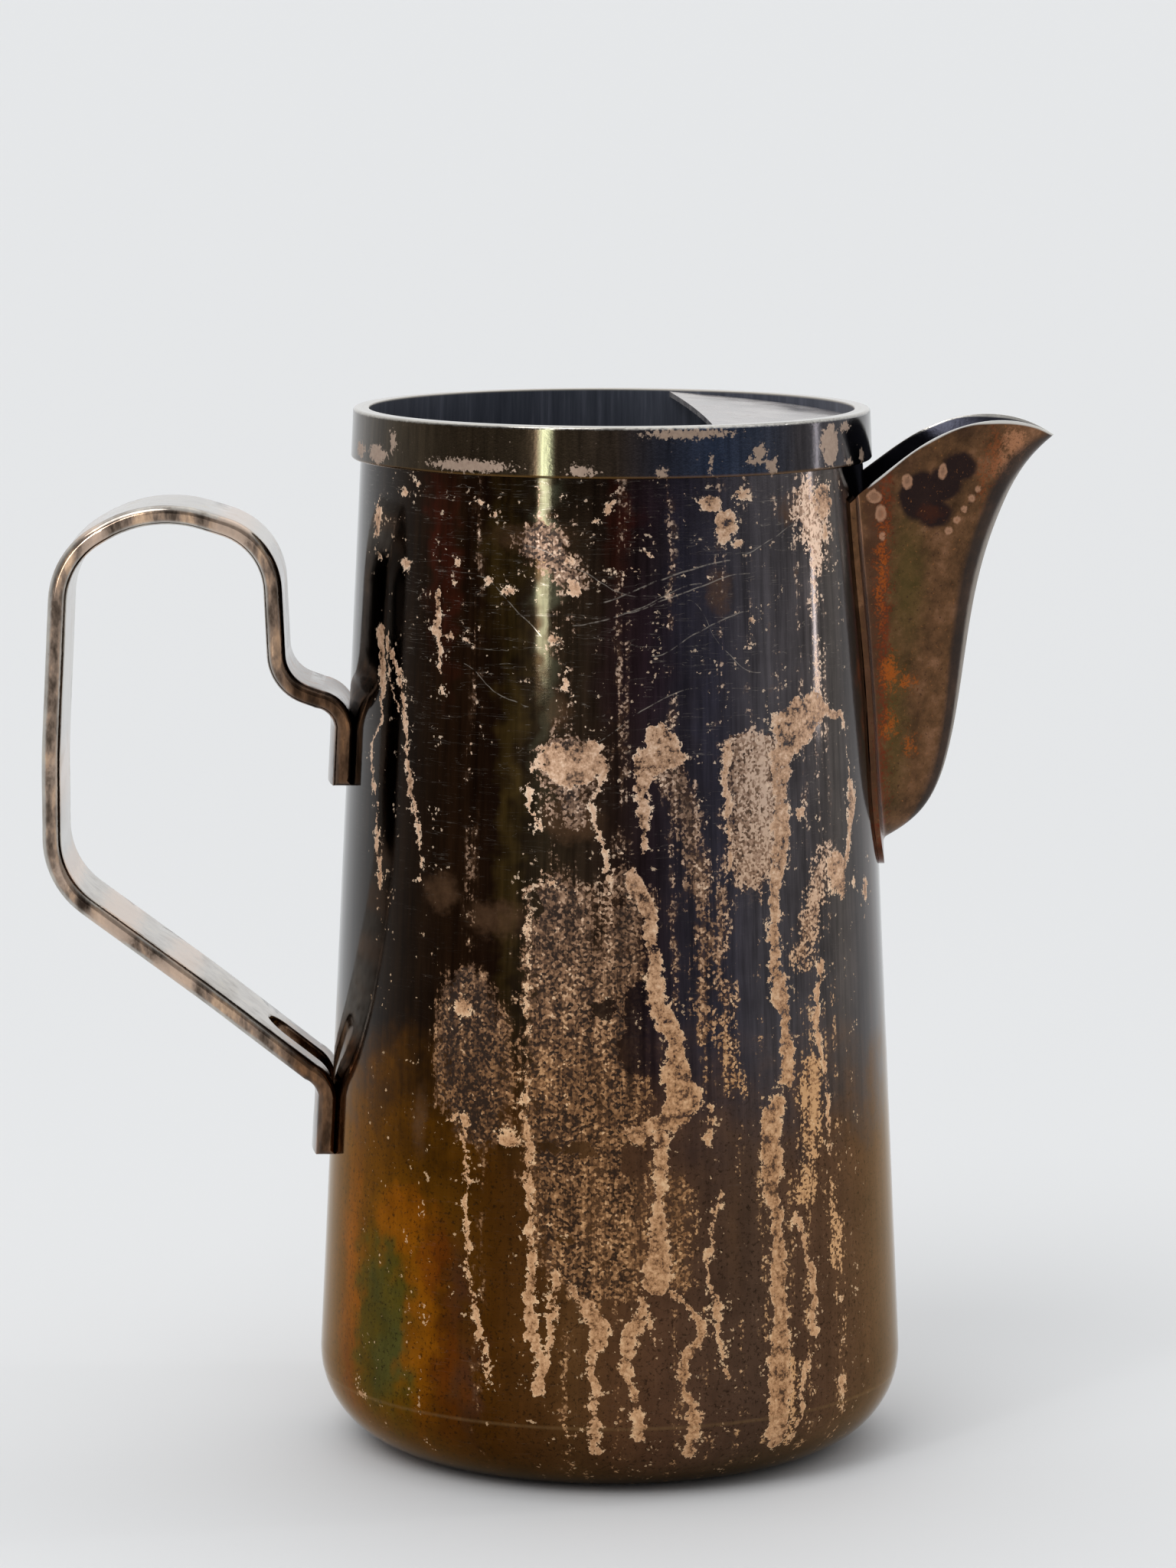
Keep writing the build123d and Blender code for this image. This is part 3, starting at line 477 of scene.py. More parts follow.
lines = add(tree, "ShaderNodeTexNoise", {"Scale": 1.0, "Detail": 2.0, "Distortion": 0.8},
    {"Vector": slant.outputs[0]})
lines = add(tree, "ShaderNodeMath", {"operation": "SUBTRACT", 1: 0.56}, {0: lines.outputs[0]})
lines = add(tree, "ShaderNodeMath", {"operation": "ABSOLUTE"}, {0: lines.outputs[0]})
short = add(tree, "ShaderNodeMapRange", {1: 0.002, 2: 0.007, 3: 1.0, 4: 0.0}, {0: lines.outputs[0]})
upper = add(tree, "ShaderNodeMapRange", {1: 110.0, 2: 165.0, 3: 0.05, 4: 0.35}, {0: height})
broken = add(tree, "ShaderNodeMapRange", {1: 0.42, 2: 0.56}, {0: drift})
scratch = add(tree, "ShaderNodeMath", {"operation": "MULTIPLY"},
    {0: short.outputs[0], 1: upper.outputs[0]})
scratch = add(tree, "ShaderNodeMath", {"operation": "MAXIMUM"},
    {0: scratch.outputs[0], 1: hair.outputs[0]})
scratch = add(tree, "ShaderNodeMath", {"operation": "MULTIPLY"},
    {0: scratch.outputs[0], 1: broken.outputs[0]}).outputs[0]
film_and_painted_light = add(tree, "ShaderNodeMix", {"data_type": "RGBA", 7: linear("#a59b90")},
    {0: scratch, 6: film_and_painted_light.outputs[2]})

# The inside kept a blue-black film. The cut rim is worn bright, and solder shows as a dull seam.
# A face is on the inside where it looks back towards a point on the axis, 150 mm up.
rim_height = cad_box[1][2] * 1000
seam_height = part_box("base_pan")[1][2] * 1000
aim_out = add(tree, "ShaderNodeVectorMath", {"operation": "SUBTRACT", 1: (0, 0, 150)}, {0: mm})
outward = add(tree, "ShaderNodeVectorMath", {"operation": "DOT_PRODUCT"},
    {0: normal, 1: aim_out.outputs[0]})
inner = add(tree, "ShaderNodeMath", {"operation": "LESS_THAN", 1: 0.0},
    {0: outward.outputs[1]}).outputs[0]
outer = add(tree, "ShaderNodeMath", {"operation": "SUBTRACT", 0: 1.0}, {1: inner}).outputs[0]
marked = add(tree, "ShaderNodeMath", {"operation": "MULTIPLY"}, {0: marked, 1: outer}).outputs[0]
colour = add(tree, "ShaderNodeMix", {"data_type": "RGBA"},
    {0: marked, 6: film_and_painted_light.outputs[2], 7: tan.outputs[2]})
bath = add(tree, "ShaderNodeValToRGB",
    {"stops": [(0.3, "#40444f"), (0.75, "#6d707e"), (0.45, "#4c505c"), (0.55, "#545864")]},
    {0: wiped})
colour = add(tree, "ShaderNodeMix", {"data_type": "RGBA"},
    {0: inner, 6: colour.outputs[2], 7: bath.outputs[0]})
worn = add(tree, "ShaderNodeMapRange", {1: rim_height - 0.5, 2: rim_height - 0.1},
    {0: height}).outputs[0]
colour = add(tree, "ShaderNodeMix", {"data_type": "RGBA", 7: linear("#b9b3a9")},
    {0: worn, 6: colour.outputs[2]})
seam = add(tree, "ShaderNodeMath", {"operation": "SUBTRACT", 1: seam_height}, {0: height})
seam = add(tree, "ShaderNodeMath", {"operation": "ABSOLUTE"}, {0: seam.outputs[0]})
seam = add(tree, "ShaderNodeMapRange", {1: 0.1, 2: 0.5, 3: 0.5, 4: 0.0}, {0: seam.outputs[0]})
seam = add(tree, "ShaderNodeMath", {"operation": "MULTIPLY"},
    {0: seam.outputs[0], 1: drift}).outputs[0]
colour = add(tree, "ShaderNodeMix", {"data_type": "RGBA", 7: linear("#8d6e48")},
    {0: seam, 6: colour.outputs[2]})

# Polished plate mirrors the room; the marks are matt. The pores are hundredths of a mm deep.
gloss = add(tree, "ShaderNodeMapRange", {1: 0.3, 2: 0.75, 3: 0.03, 4: 0.12}, {0: cloud})
dulled = add(tree, "ShaderNodeMath", {"operation": "MAXIMUM"}, {0: marked, 1: inner})
rough = add(tree, "ShaderNodeMath", {"operation": "MULTIPLY"}, {0: speck, 1: outer})
dulled = add(tree, "ShaderNodeMath", {"operation": "MULTIPLY_ADD", 1: 0.75, "use_clamp": True},
    {0: rough.outputs[0], 2: dulled.outputs[0]}).outputs[0]
gloss = add(tree, "ShaderNodeMix", {"data_type": "FLOAT", 3: 0.45},
    {0: dulled, 2: gloss.outputs[0]})
shine = add(tree, "ShaderNodeMapRange", {3: 1.0, 4: 0.5}, {0: dulled})
tint = add(tree, "ShaderNodeMix", {"data_type": "RGBA", 6: linear("#ffffff"), 7: linear("#f0e2d0")},
    {0: lower_body})
relief = add(tree, "ShaderNodeBump", {"Strength": 0.12, "Distance": 0.00004}, {"Height": crumb})
shader = add(tree, "ShaderNodeBsdfPrincipled", links={
    "Base Color": colour.outputs[2], "Roughness": gloss.outputs[0], "Metallic": shine.outputs[0],
    "Specular Tint": tint.outputs[2], "Normal": relief.outputs[0]})
coat(plate, shader, "body_wall", "base_pan")

# Rim band
# A strip of the same plated sheet is wrapped round the mouth and soldered flush with its top. Its
# upper edge is rubbed bright by lids and cloths, and polish has dried in the corner below it.
band_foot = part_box("rim_band")[0][2] * 1000

# Plated sheet gives the same dark mirror as the wall, but bluer and crossed by level tan marks,
# with a line of rubbed silver on top and a straw-coloured one below. A narrow pale upright stripe
# across it is a painted highlight of the left lamp.
band, tree, mm, _ = surface("plated sheet, rubbed at the rim")
turn, height, _ = round_the_wall(tree, mm)
flat = add(tree, "ShaderNodeCombineXYZ", links={0: turn, 1: height})
ragged = wobble(tree, mm, {"Scale": 0.7, "Detail": 3.0, "Roughness": 0.65}, 2.5, 1.2)
at = add(tree, "ShaderNodeVectorMath", {"operation": "ADD"},
    {0: flat.outputs[0], 1: ragged}).outputs[0]
# Grains of 0.7 mm, and below them plumb streaks of 1.2 mm.
grain = add(tree, "ShaderNodeTexNoise", {"Scale": 1.5, "Detail": 4.0, "Roughness": 0.65},
    {"Vector": mm}).outputs[0]
bare = stain(tree, at, spots=[
    (-62.8, 192.7, 4.3, 1.7), (-73, 193, 3, 1.4), (-56, 195.5, 1.2, 2.4), (-33, 192.3, 10.7, 1.2),
    (-7, 192, 3, 1), (16, 198.6, 10, 1.0), (10, 191.6, 1.4, 0.8), (20.8, 193.3, 0.5, 1.6),
    (31, 193.2, 1.4, 0.8), (33, 194.6, 1.6, 1.8), (36, 192.2, 1.8, 1.6), (54.5, 195, 3.4, 4),
    (61.3, 198, 2.3, 0.9), (70.6, 192, 2.1, 1.4), (62.8, 191.3, 1.5, 0.7)])
edge = bitten(tree, bare, (grain, 3.0))
marked = add(tree, "ShaderNodeMapRange", {1: 1.45, 2: 1.75, "interpolation_type": "SMOOTHSTEP"},
    {0: edge})
dust = add(tree, "ShaderNodeMapRange", {1: 0.66, 2: 0.74, 3: 0.0, 4: 0.6}, {0: grain})
marked = add(tree, "ShaderNodeMath", {"operation": "MAXIMUM"},
    {0: marked.outputs[0], 1: dust.outputs[0]}).outputs[0]
share = add(tree, "ShaderNodeMapRange", {1: -90.0, 2: 90.0}, {0: turn}).outputs[0]
# The pale olive stops at 0.414 and 0.424, about 15 degrees left of the front, are a painted
# highlight of the left lamp's line.
film_and_painted_light = add(tree, "ShaderNodeValToRGB", {"stops": [
    (0.03, "#4c453c"), (0.98, "#3a332d"), (0.2, "#3c3327"), (0.3, "#2e251b"), (0.408, "#3a3024"),
    (0.414, "#66664f"), (0.424, "#66664f"), (0.43, "#3a3024"), (0.5, "#3a3028"), (0.55, "#2f2f37"),
    (0.62, "#323a4c"), (0.68, "#383d4a"), (0.74, "#363335"), (0.85, "#38363a")]}, {0: share})
wiped = add(tree, "ShaderNodeVectorMath", {"operation": "MULTIPLY", 1: (1.0, 1.0, 0.06)}, {0: mm})
wiped = add(tree, "ShaderNodeTexNoise", {"Scale": 0.8, "Detail": 4.0, "Roughness": 0.7},
    {"Vector": wiped.outputs[0]}).outputs[0]
tone = add(tree, "ShaderNodeMapRange", {1: 0.3, 2: 0.7, 3: 0.65, 4: 1.5}, {0: wiped})
film_and_painted_light = add(tree, "ShaderNodeVectorMath", {"operation": "SCALE"},
    {0: film_and_painted_light.outputs[0], 3: tone.outputs[0]})
tan = add(tree, "ShaderNodeMix", {"data_type": "RGBA", 6: linear("#80685a"), 7: linear("#b7a08c")},
    {0: grain})
colour = add(tree, "ShaderNodeMix", {"data_type": "RGBA"},
    {0: marked, 6: film_and_painted_light.outputs[0], 7: tan.outputs[2]})
# Dried polish, straw yellow, in the last 0.5 mm above the lower edge.
low = add(tree, "ShaderNodeMapRange", {1: band_foot + 0.05, 2: band_foot + 0.7, 3: 0.8, 4: 0.0},
    {0: height}).outputs[0]
colour = add(tree, "ShaderNodeMix", {"data_type": "RGBA", 7: linear("#6a4a1c")},
    {0: low, 6: colour.outputs[2]})
rubbed = bitten(tree, height, (grain, 0.5))
rubbed = add(tree, "ShaderNodeMapRange", {1: rim_height - 0.35, 2: rim_height + 0.1},
    {0: rubbed}).outputs[0]
colour = add(tree, "ShaderNodeMix", {"data_type": "RGBA", 7: linear("#c2beb6")},
    {0: rubbed, 6: colour.outputs[2]})
gloss = add(tree, "ShaderNodeMix", {"data_type": "FLOAT", 2: 0.11, 3: 0.45}, {0: marked})
shine = add(tree, "ShaderNodeMapRange", {3: 1.0, 4: 0.45}, {0: marked})
relief = add(tree, "ShaderNodeBump", {"Strength": 0.3, "Distance": 0.00004}, {"Height": grain})
shader = add(tree, "ShaderNodeBsdfPrincipled", links={
    "Base Color": colour.outputs[2], "Roughness": gloss.outputs[0], "Metallic": shine.outputs[0],
    "Normal": relief.outputs[0]})
coat(band, shader, "rim_band")

# Ice guard
# A thin plate soldered across the spout side of the mouth holds the ice back. It is hard to reach
# with a cloth, so its plating is worn to a pale pinkish grey with darker spots.

# Spotted silver plate is pale and satin, with soft clouds of 11 mm and spots of 2.5 mm. It shows
# as a light plane in the dark mouth.
guard, tree, mm, _ = surface("spotted silver plate")
cloud = add(tree, "ShaderNodeTexNoise", {"Scale": 0.09, "Detail": 3.0, "Roughness": 0.55},
    {"Vector": mm}).outputs[0]
grain = add(tree, "ShaderNodeTexNoise", {"Scale": 0.4, "Detail": 3.0, "Roughness": 0.6},
    {"Vector": mm}).outputs[0]
colour = add(tree, "ShaderNodeValToRGB", {"stops": [
    (0.30, "#918c8b"), (0.72, "#cfcbca"), (0.44, "#aca6a5"), (0.52, "#b8b3b2"), (0.60, "#c3bebc")]},
    {0: cloud})
freckle = add(tree, "ShaderNodeMapRange", {1: 0.58, 2: 0.66, 3: 0.0, 4: 0.35}, {0: grain})
colour = add(tree, "ShaderNodeMix", {"data_type": "RGBA", 7: linear("#8a7a72")},
    {0: freckle.outputs[0], 6: colour.outputs[0]})
gloss = add(tree, "ShaderNodeMapRange", {1: 0.3, 2: 0.7, 3: 0.16, 4: 0.36}, {0: cloud})
relief = add(tree, "ShaderNodeBump", {"Strength": 0.04, "Distance": 0.00003}, {"Height": grain})
shader = add(tree, "ShaderNodeBsdfPrincipled", {"Metallic": 0.6}, {
    "Base Color": colour.outputs[2], "Roughness": gloss.outputs[0], "Normal": relief.outputs[0]})
coat(guard, shader, "ice_guard")

# Spout
# One sheet, hammered into a round-nosed vee with its own flange and soldered over the strainer.
# The heat of soldering and years of water left it bronze brown, with rust red along the joint.

# Heat-stained silver plate is cloudy instead of streaked. It gives the eye a satin bronze brown
# with rust and copper in it, and near-black blotches where water stood under the lip.
bronze, tree, mm, normal = surface("heat-stained silver plate")
x, y, z = add(tree, "ShaderNodeSeparateXYZ", links={0: mm}).outputs
flat = add(tree, "ShaderNodeCombineXYZ", links={0: x, 1: z}).outputs[0]
# Outlines wander at 2.2 mm. Clouds are 7 mm and grains 0.6 mm.
wander = wobble(tree, mm, {"Scale": 0.45, "Detail": 6.0, "Roughness": 0.75}, 2.7, 3.5)
at = add(tree, "ShaderNodeVectorMath", {"operation": "ADD"}, {0: flat, 1: wander}).outputs[0]
cloud = add(tree, "ShaderNodeTexNoise", {"Scale": 0.14, "Detail": 8.0, "Roughness": 0.72},
    {"Vector": mm}).outputs[0]
grain = add(tree, "ShaderNodeTexNoise", {"Scale": 1.6, "Detail": 4.0, "Roughness": 0.7},
    {"Vector": mm}).outputs[0]
colour = add(tree, "ShaderNodeValToRGB", {"stops": [
    (0.32, "#3b2818"), (0.70, "#8f684c"), (0.44, "#543b26"), (0.54, "#67482f"), (0.62, "#78553c")]},
    {0: cloud}).outputs[0]
calm = {"operation": "MULTIPLY_ADD", 1: (0.25, 0.25, 0)}
calm = add(tree, "ShaderNodeVectorMath", calm, {0: wander, 2: flat}).outputs[0]
for name, tint, spots, strength, reach in (
    ("root", "#4b3022", [(49.5, 160, 2.4, 60)], 0.7, 1.2),
    ("olive", "#4c451d", [(56, 168, 3, 12), (53.5, 142, 2.5, 14)], 0.5, 2.5),
    ("rust", "#742c16", [(51.6, 150, 0.5, 27), (51.2, 174, 0.5, 7)], 0.85, 1.5),
    ("orange", "#a8561c",
     [(53.0, 150, 1.6, 2.6), (56.0, 148, 1.2, 1.0), (51.0, 171, 0.4, 4), (57, 136, 0.5, 0.9),
      (53, 140, 0.8, 1.4)], 0.8, 1.0),
    ("copper", "#b07a58", [(76.6, 193.6, 2.2, 2.6), (74, 190, 1.4, 1.8)], 0.8, 1.2),
    ("streak", "#8c4a26", [(72.6, 192, 0.8, 3.6), (70.4, 187, 0.6, 2.4)], 0.6, 1.0),
    ("blotch", "#1e1416",
     [(58.6, 184.0, 4.6, 4.8), (65.8, 189.4, 3.4, 2.8), (61, 180.6, 3.4, 2.8),
      (62.6, 186.2, 3.6, 3.4)], 0.93, 0.7),
    ("ember", "#4a2414", [(60.5, 181, 2.4, 1.4)], 0.5, 1.0),
    ("lip", "#37251c", [(54, 190.5, 3.4, 2.0), (64, 197.2, 7, 2.0)], 0.55, 1.6),
):
    field = stain(tree, calm if name == "blotch" else at, spots=spots)
    if name in ("rust", "orange", "copper", "streak"):
        field = bitten(tree, field, (grain, 9.0))
        field = add(tree, "ShaderNodeMath", {"operation": "SUBTRACT", 1: 4.6},
            {0: field}).outputs[0]
    field = add(tree, "ShaderNodeMapRange",
        {1: -reach, 2: reach, 3: 0.0, 4: strength, "interpolation_type": "SMOOTHSTEP"}, {0: field})
    colour = add(tree, "ShaderNodeMix", {"data_type": "RGBA", 7: linear(tint)},
        {0: field.outputs[0], 6: colour}).outputs[2]
# Dried drops: pink rings of about 2 mm.
rings = stain(tree, calm, spots=[
    (49.3, 184.2, 1.5, 1.3), (50.6, 181, 1.1, 1.5), (55.6, 187, 1.0, 1.5), (62.5, 188.6, 0.8, 1.4),
    (51.0, 176.6, 0.6, 0.8), (68.2, 183.2, 0.7, 0.8), (66.8, 181.2, 0.6, 0.6),
    (65.4, 179.2, 0.7, 0.7), (63.9, 177.2, 0.8, 0.8), (69.4, 185, 0.5, 0.6)])
ring = add(tree, "ShaderNodeMapRange", {1: -0.15, 2: 0.2, 3: 0.0, 4: 0.85}, {0: rings})
heart = add(tree, "ShaderNodeMapRange", {1: 0.25, 2: 0.75, 3: 1.0, 4: 0.6}, {0: rings})
ring = add(tree, "ShaderNodeMath", {"operation": "MULTIPLY"},
    {0: ring.outputs[0], 1: heart.outputs[0]}).outputs[0]
colour = add(tree, "ShaderNodeMix", {"data_type": "RGBA", 7: linear("#b08468")},
    {0: ring, 6: colour}).outputs[2]
freckle = add(tree, "ShaderNodeMapRange", {1: 0.60, 2: 0.67, 3: 0.0, 4: 0.75}, {0: grain})
spark = add(tree, "ShaderNodeMapRange", {1: 0.37, 2: 0.32, 3: 0.0, 4: 0.6}, {0: grain})
colour = add(tree, "ShaderNodeMix", {"data_type": "RGBA", 7: linear("#9a6238")},
    {0: spark.outputs[0], 6: colour}).outputs[2]
colour = add(tree, "ShaderNodeMix", {"data_type": "RGBA", 7: linear("#33201a")},
    {0: freckle.outputs[0], 6: colour}).outputs[2]
# Inside, away from hands, the film is blue-black; the lip's cut edge is worn to silver.
forward, sideways, _ = add(tree, "ShaderNodeSeparateXYZ", links={0: normal}).outputs
side = add(tree, "ShaderNodeMath", {"operation": "SIGN"}, {0: y})
lean = add(tree, "ShaderNodeMath", {"operation": "MULTIPLY"},
    {0: sideways, 1: side.outputs[0]}).outputs[0]
inner = add(tree, "ShaderNodeMapRange", {1: -0.12, 2: -0.2}, {0: lean}).outputs[0]
bath = add(tree, "ShaderNodeMix", {"data_type": "RGBA", 6: linear("#20222c"), 7: linear("#4a4a55")},
    {0: cloud})
colour = add(tree, "ShaderNodeMix", {"data_type": "RGBA"},
    {0: inner, 6: colour, 7: bath.outputs[2]}).outputs[2]
# The keel, more than 2 mm off the tapered wall, is coloured by the way it faces: a dark band of
# painted reflection on each side, and a pale grey nose that is partly worn plate and partly a
# painted reflection.
taper, wall_at_table = 0.0485, 57.1
stand_off = add(tree, "ShaderNodeMath", {"operation": "MULTIPLY_ADD", 1: taper}, {0: z, 2: x})
stand_off = add(tree, "ShaderNodeMapRange", {1: wall_at_table + 2, 2: wall_at_table + 4.5},
    {0: stand_off.outputs[0]})
for start, end, tint in ((0.50, 0.58, "#2b2726"), (0.72, 0.86, "#a0968b")):
    keel_painted_reflection = {1: start, 2: end, 4: 0.8, "interpolation_type": "SMOOTHSTEP"}
    keel_painted_reflection = add(tree, "ShaderNodeMapRange", keel_painted_reflection, {0: forward})
    keel_painted_reflection = add(tree, "ShaderNodeMath", {"operation": "MULTIPLY"},
        {0: keel_painted_reflection.outputs[0], 1: stand_off.outputs[0]}).outputs[0]
    colour = add(tree, "ShaderNodeMix", {"data_type": "RGBA", 7: linear(tint)},
        {0: keel_painted_reflection, 6: colour}).outputs[2]
# The lip's line seen from the side, for x from 43 mm to 85 mm: 0 is 150 mm up and 1 is 200 mm.
brow = add(tree, "ShaderNodeMapRange", {1: 43.0, 2: 85.0}, {0: x})
brow = add(tree, "ShaderNodeFloatCurve", {"points": [
    (0.0, 0.65), (0.16, 0.748), (0.385, 0.885), (0.655, 0.958), (0.87, 0.94), (1.0, 0.89)]},
    {1: brow.outputs[0]})
brow = add(tree, "ShaderNodeMath", {"operation": "MULTIPLY_ADD", 1: -50.0, 2: -150.0},
    {0: brow.outputs[0]})
lip = add(tree, "ShaderNodeMath", {"operation": "ADD"}, {0: brow.outputs[0], 1: z})
lip = add(tree, "ShaderNodeMapRange", {1: -0.55, 2: -0.25}, {0: lip.outputs[0]})
past = add(tree, "ShaderNodeMapRange", {1: 47.9, 2: 49.0}, {0: x})
lip = add(tree, "ShaderNodeMath", {"operation": "MULTIPLY"},
    {0: lip.outputs[0], 1: past.outputs[0]}).outputs[0]
colour = add(tree, "ShaderNodeMix", {"data_type": "RGBA", 7: linear("#d4d0c9")},
    {0: lip, 6: colour}).outputs[2]
gloss = add(tree, "ShaderNodeMapRange", {1: 0.3, 2: 0.7, 3: 0.1, 4: 0.26}, {0: cloud})
gloss = bitten(tree, gloss.outputs[0], (keel_painted_reflection, 0.3))
relief = add(tree, "ShaderNodeBump", {"Strength": 0.3, "Distance": 0.00005}, {"Height": grain})
shader = add(tree, "ShaderNodeBsdfPrincipled", {"Metallic": 0.9}, {
    "Base Color": colour, "Roughness": gloss, "Normal": relief.outputs[0]})
coat(bronze, shader, "spout")

# Handle
# One strap of plated sheet 3.6 mm thick, bent cold and soldered on by its two upright ends. Hands
# keep the broad faces bright; the edges hold a brown and copper tarnish.

# Handled silver plate is a true mirror where hands rub it, pale grey with soft warm clouds. The
# narrow edges and the tabs are mottled copper and brown, in patches of 3 mm by 7 mm.
strap, tree, mm, normal = surface("handled silver plate")
x, _, z = add(tree, "ShaderNodeSeparateXYZ", links={0: mm}).outputs
mottle = add(tree, "ShaderNodeVectorMath", {"operation": "MULTIPLY", 1: (1.0, 1.0, 0.4)}, {0: mm})
mottle = add(tree, "ShaderNodeTexNoise", {"Scale": 0.34, "Detail": 5.0, "Roughness": 0.6},
    {"Vector": mottle.outputs[0]}).outputs[0]
grain = add(tree, "ShaderNodeTexNoise", {"Scale": 1.5, "Detail": 4.0, "Roughness": 0.65},
    {"Vector": mm}).outputs[0]
facing = add(tree, "ShaderNodeSeparateXYZ", links={0: normal})
facing = add(tree, "ShaderNodeMath", {"operation": "ABSOLUTE"}, {0: facing.outputs[1]})
edge = add(tree, "ShaderNodeMapRange", {1: 0.8, 2: 0.99, "interpolation_type": "SMOOTHSTEP"},
    {0: facing.outputs[0]}).outputs[0]
bright = add(tree, "ShaderNodeValToRGB", {"stops": [
    (0.3, "#8f867c"), (0.72, "#cfc6b8"), (0.42, "#aaa39b"), (0.55, "#bab5ae")]}, {0: mottle})
dull = add(tree, "ShaderNodeValToRGB", {"stops": [
    (0.32, "#3a2f28"), (0.70, "#e2bf9e"), (0.42, "#65574c"), (0.50, "#907c6d"), (0.58, "#b99c83")]},
    {0: mottle})
warm = add(tree, "ShaderNodeValToRGB", {"stops": [
    (0.32, "#2c2018"), (0.70, "#8a5c38"), (0.45, "#46301f"), (0.58, "#63442c")]}, {0: mottle})
tabs = add(tree, "ShaderNodeMapRange", {1: -66.0, 2: -60.0, 3: 0.0, 4: 0.9}, {0: x}).outputs[0]
dull = add(tree, "ShaderNodeMix", {"data_type": "RGBA"},
    {0: tabs, 6: dull.outputs[0], 7: warm.outputs[0]})
bright = add(tree, "ShaderNodeMix", {"data_type": "RGBA"},
    {0: tabs, 6: bright.outputs[0], 7: warm.outputs[0]})
colour = add(tree, "ShaderNodeMix", {"data_type": "RGBA"},
    {0: edge, 6: bright.outputs[2], 7: dull.outputs[2]}).outputs[2]
flat = add(tree, "ShaderNodeCombineXYZ", links={0: x, 1: z}).outputs[0]
wander = wobble(tree, mm, {"Scale": 0.5, "Detail": 4.0, "Roughness": 0.7}, 2.5, 2.5)
at = add(tree, "ShaderNodeVectorMath", {"operation": "ADD"}, {0: flat, 1: wander}).outputs[0]
rubbed = stain(tree, at, spots=[
    (-103, 112, 3, 3), (-95, 102, 5, 4), (-84, 92, 5, 4), (-104, 130, 2, 6), (-98, 175, 3, 4),
    (-72, 177, 4, 4)])
rubbed = add(tree, "ShaderNodeMapRange",
    {1: -1.4, 2: 1.6, 3: 0.0, 4: 0.7, "interpolation_type": "SMOOTHSTEP"}, {0: rubbed}).outputs[0]
colour = add(tree, "ShaderNodeMix", {"data_type": "RGBA", 7: linear("#d6bca8")},
    {0: rubbed, 6: colour}).outputs[2]
dark = add(tree, "ShaderNodeMapRange", {1: 0.64, 2: 0.74, 3: 0.0, 4: 0.45}, {0: grain})
colour = add(tree, "ShaderNodeMix", {"data_type": "RGBA", 7: linear("#2a211c")},
    {0: dark.outputs[0], 6: colour}).outputs[2]
gloss = add(tree, "ShaderNodeMapRange", {1: 0.35, 2: 0.7, 3: 0.06, 4: 0.22}, {0: mottle})
relief = add(tree, "ShaderNodeBump", {"Strength": 0.1, "Distance": 0.00004}, {"Height": mottle})
shader = add(tree, "ShaderNodeBsdfPrincipled", {"Metallic": 1.0}, {
    "Base Color": colour, "Roughness": gloss.outputs[0], "Normal": relief.outputs[0]})
coat(strap, shader, "handle")

# Camera, floor and light
# A long lens stands a metre away and a little above the rim. The floor is plain pale board, and
# the studio is pale behind the pitcher, dimmer in front, with a broad key and two tall lamps.
scene = bpy.context.scene
camera = bpy.data.objects.new("camera", bpy.data.cameras.new("camera"))
scene.collection.objects.link(camera)
scene.camera = camera
camera.data.sensor_width = 36
camera.data.lens = 132.68
camera.data.clip_start, camera.data.clip_end = 0.01, 200
stand = Vector((-0.01344, -1.09992, 0.28514))
aim = Vector((-0.0044, 0, 0.12733))
camera.location = stand
camera.rotation_mode = "QUATERNION"
roll = Quaternion((0, 0, 1), radians(0.0876))
camera.rotation_quaternion = (aim - stand).to_track_quat("-Z", "Y") @ roll

# Matt pale board takes a soft shadow and shows no pattern. Its edge lies at the horizon.
half = 60.0
corners = [(-half, -half, 0), (half, -half, 0), (half, half, 0), (-half, half, 0)]
mesh = bpy.data.meshes.new("floor")
mesh.from_pydata(corners, [], [(0, 1, 2, 3)])
floor = bpy.data.objects.new("floor", mesh)
scene.collection.objects.link(floor)
board = bpy.data.materials.new("pale board")
board.use_nodes = True
matt = board.node_tree.nodes["Principled BSDF"].inputs
matt["Base Color"].default_value = linear("#e6e7e8")
matt["Roughness"].default_value = 0.7
mesh.materials.append(board)

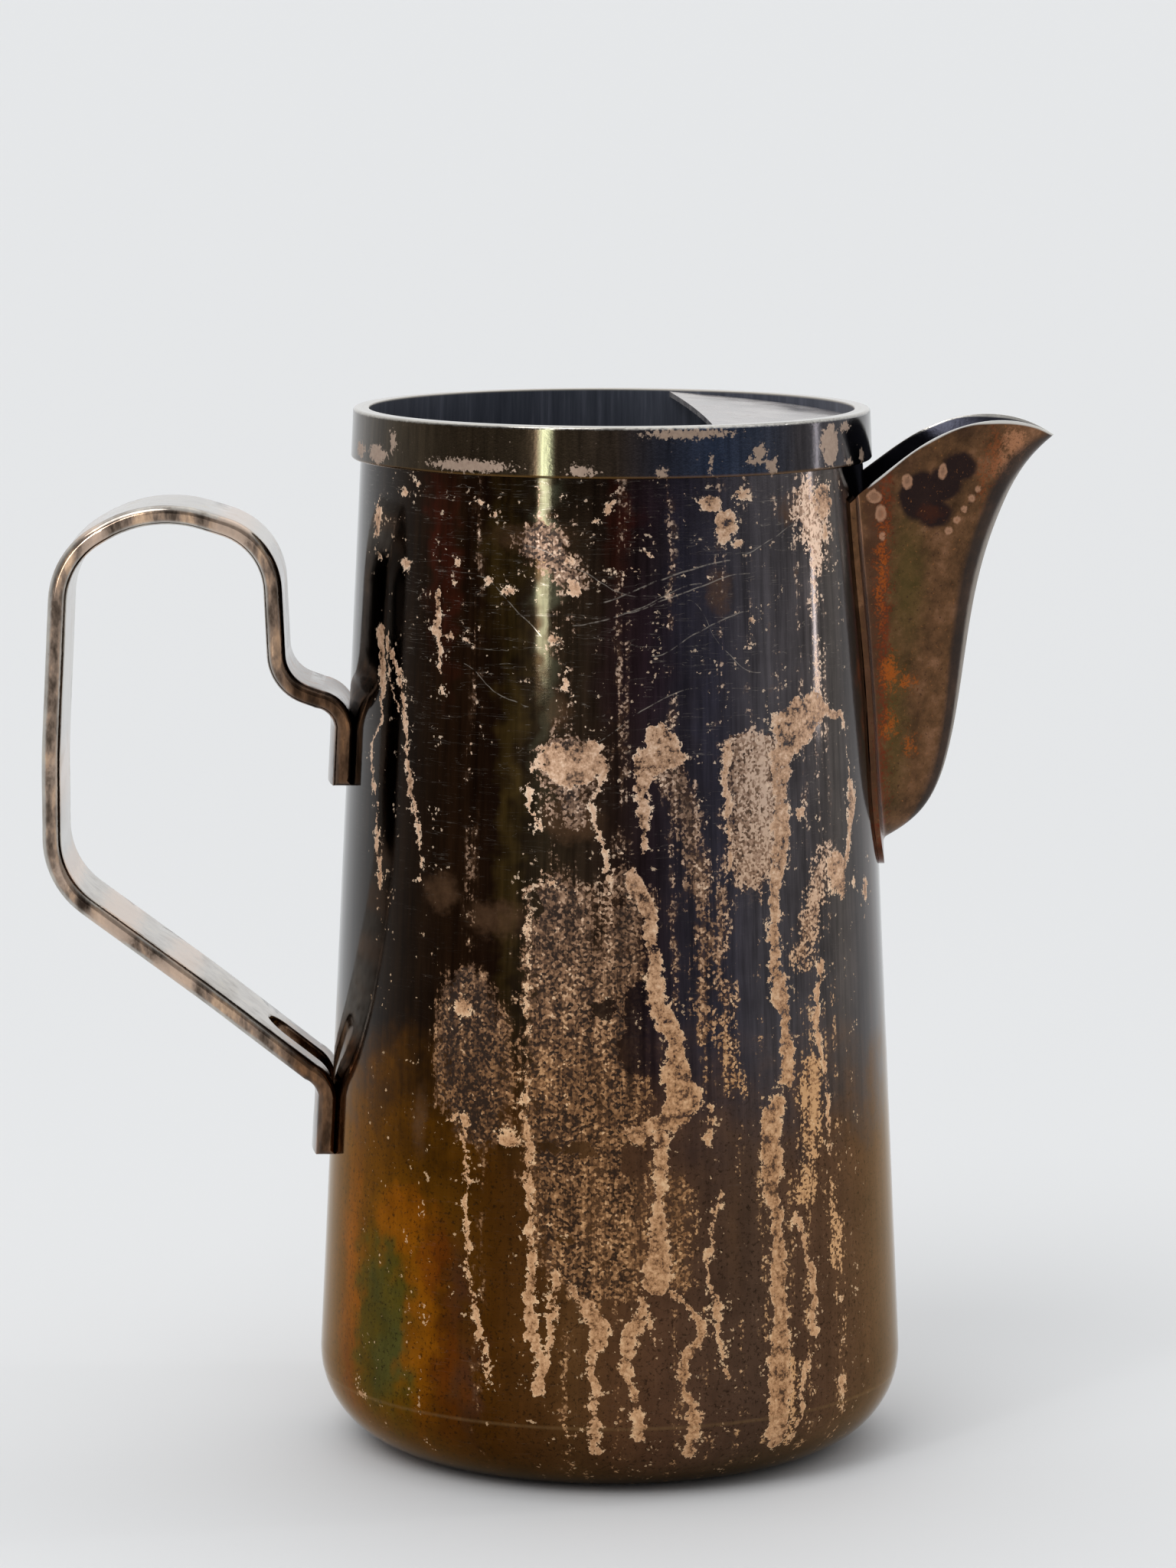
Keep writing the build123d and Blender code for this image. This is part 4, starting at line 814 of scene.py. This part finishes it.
# The studio is 0.35 bright in front, 0.95 behind and a little brighter overhead. The camera
# itself sees an even 0.9, which is about what the metal mirrors from behind.
world = bpy.data.worlds.new("studio")
scene.world = world
world.use_nodes = True
room = world.node_tree
room.nodes.clear()
where = add(room, "ShaderNodeTexCoord")
axes = add(room, "ShaderNodeSeparateXYZ", links={0: where.outputs["Generated"]})
back = add(room, "ShaderNodeMapRange",
    {1: -0.5, 2: 0.6, 3: 0.35, 4: 0.95, "interpolation_type": "SMOOTHSTEP"}, {0: axes.outputs[1]})
top = add(room, "ShaderNodeMapRange",
    {1: 0.5, 2: 0.85, 3: 0.0, 4: 0.45, "interpolation_type": "SMOOTHSTEP"}, {0: axes.outputs[2]})
back = add(room, "ShaderNodeMath", {"operation": "ADD"}, {0: back.outputs[0], 1: top.outputs[0]})
path = add(room, "ShaderNodeLightPath")
glow = add(room, "ShaderNodeMix", {"data_type": "FLOAT", 3: 0.9},
    {0: path.outputs["Is Camera Ray"], 2: back.outputs[0]})
sky = add(room, "ShaderNodeBackground", {0: linear("#f5f6f7")}, {1: glow.outputs[0]})
add(room, "ShaderNodeOutputWorld", links={0: sky.outputs[0]})

sun = bpy.data.objects.new("soft key", bpy.data.lights.new("soft key", "SUN"))
sun.data.energy = 0.7
sun.data.angle = radians(35)
sun.rotation_euler = (radians(38), 0, radians(-35))
scene.collection.objects.link(sun)

# Each lamp stands so many degrees round from the front and so many metres out, and its foot is
# at low. The left one draws the bright upright line on the wall, the right one that on the spout.
for name, azimuth, distance, low, width, tall, radiance in (
    ("left lamp", -29, 0.35, 0.145, 0.03, 0.2, 9),
    ("right lamp", 97, 0.5, 0.11, 0.014, 0.4, 12),
):
    lamp = bpy.data.objects.new(name, bpy.data.lights.new(name, "AREA"))
    lamp.data.shape = "RECTANGLE"
    lamp.data.size, lamp.data.size_y = width, tall
    lamp.data.energy = radiance * pi * width * tall
    toward = Vector((0, -1, 0))
    toward.rotate(Quaternion((0, 0, 1), radians(azimuth)))
    lamp.location = toward * distance + Vector((0, 0, low + tall / 2))
    lamp.rotation_mode = "QUATERNION"
    lamp.rotation_quaternion = (-toward).to_track_quat("-Z", "Y")
    lamp.visible_camera = False
    scene.collection.objects.link(lamp)

scene.view_settings.view_transform = "Standard"
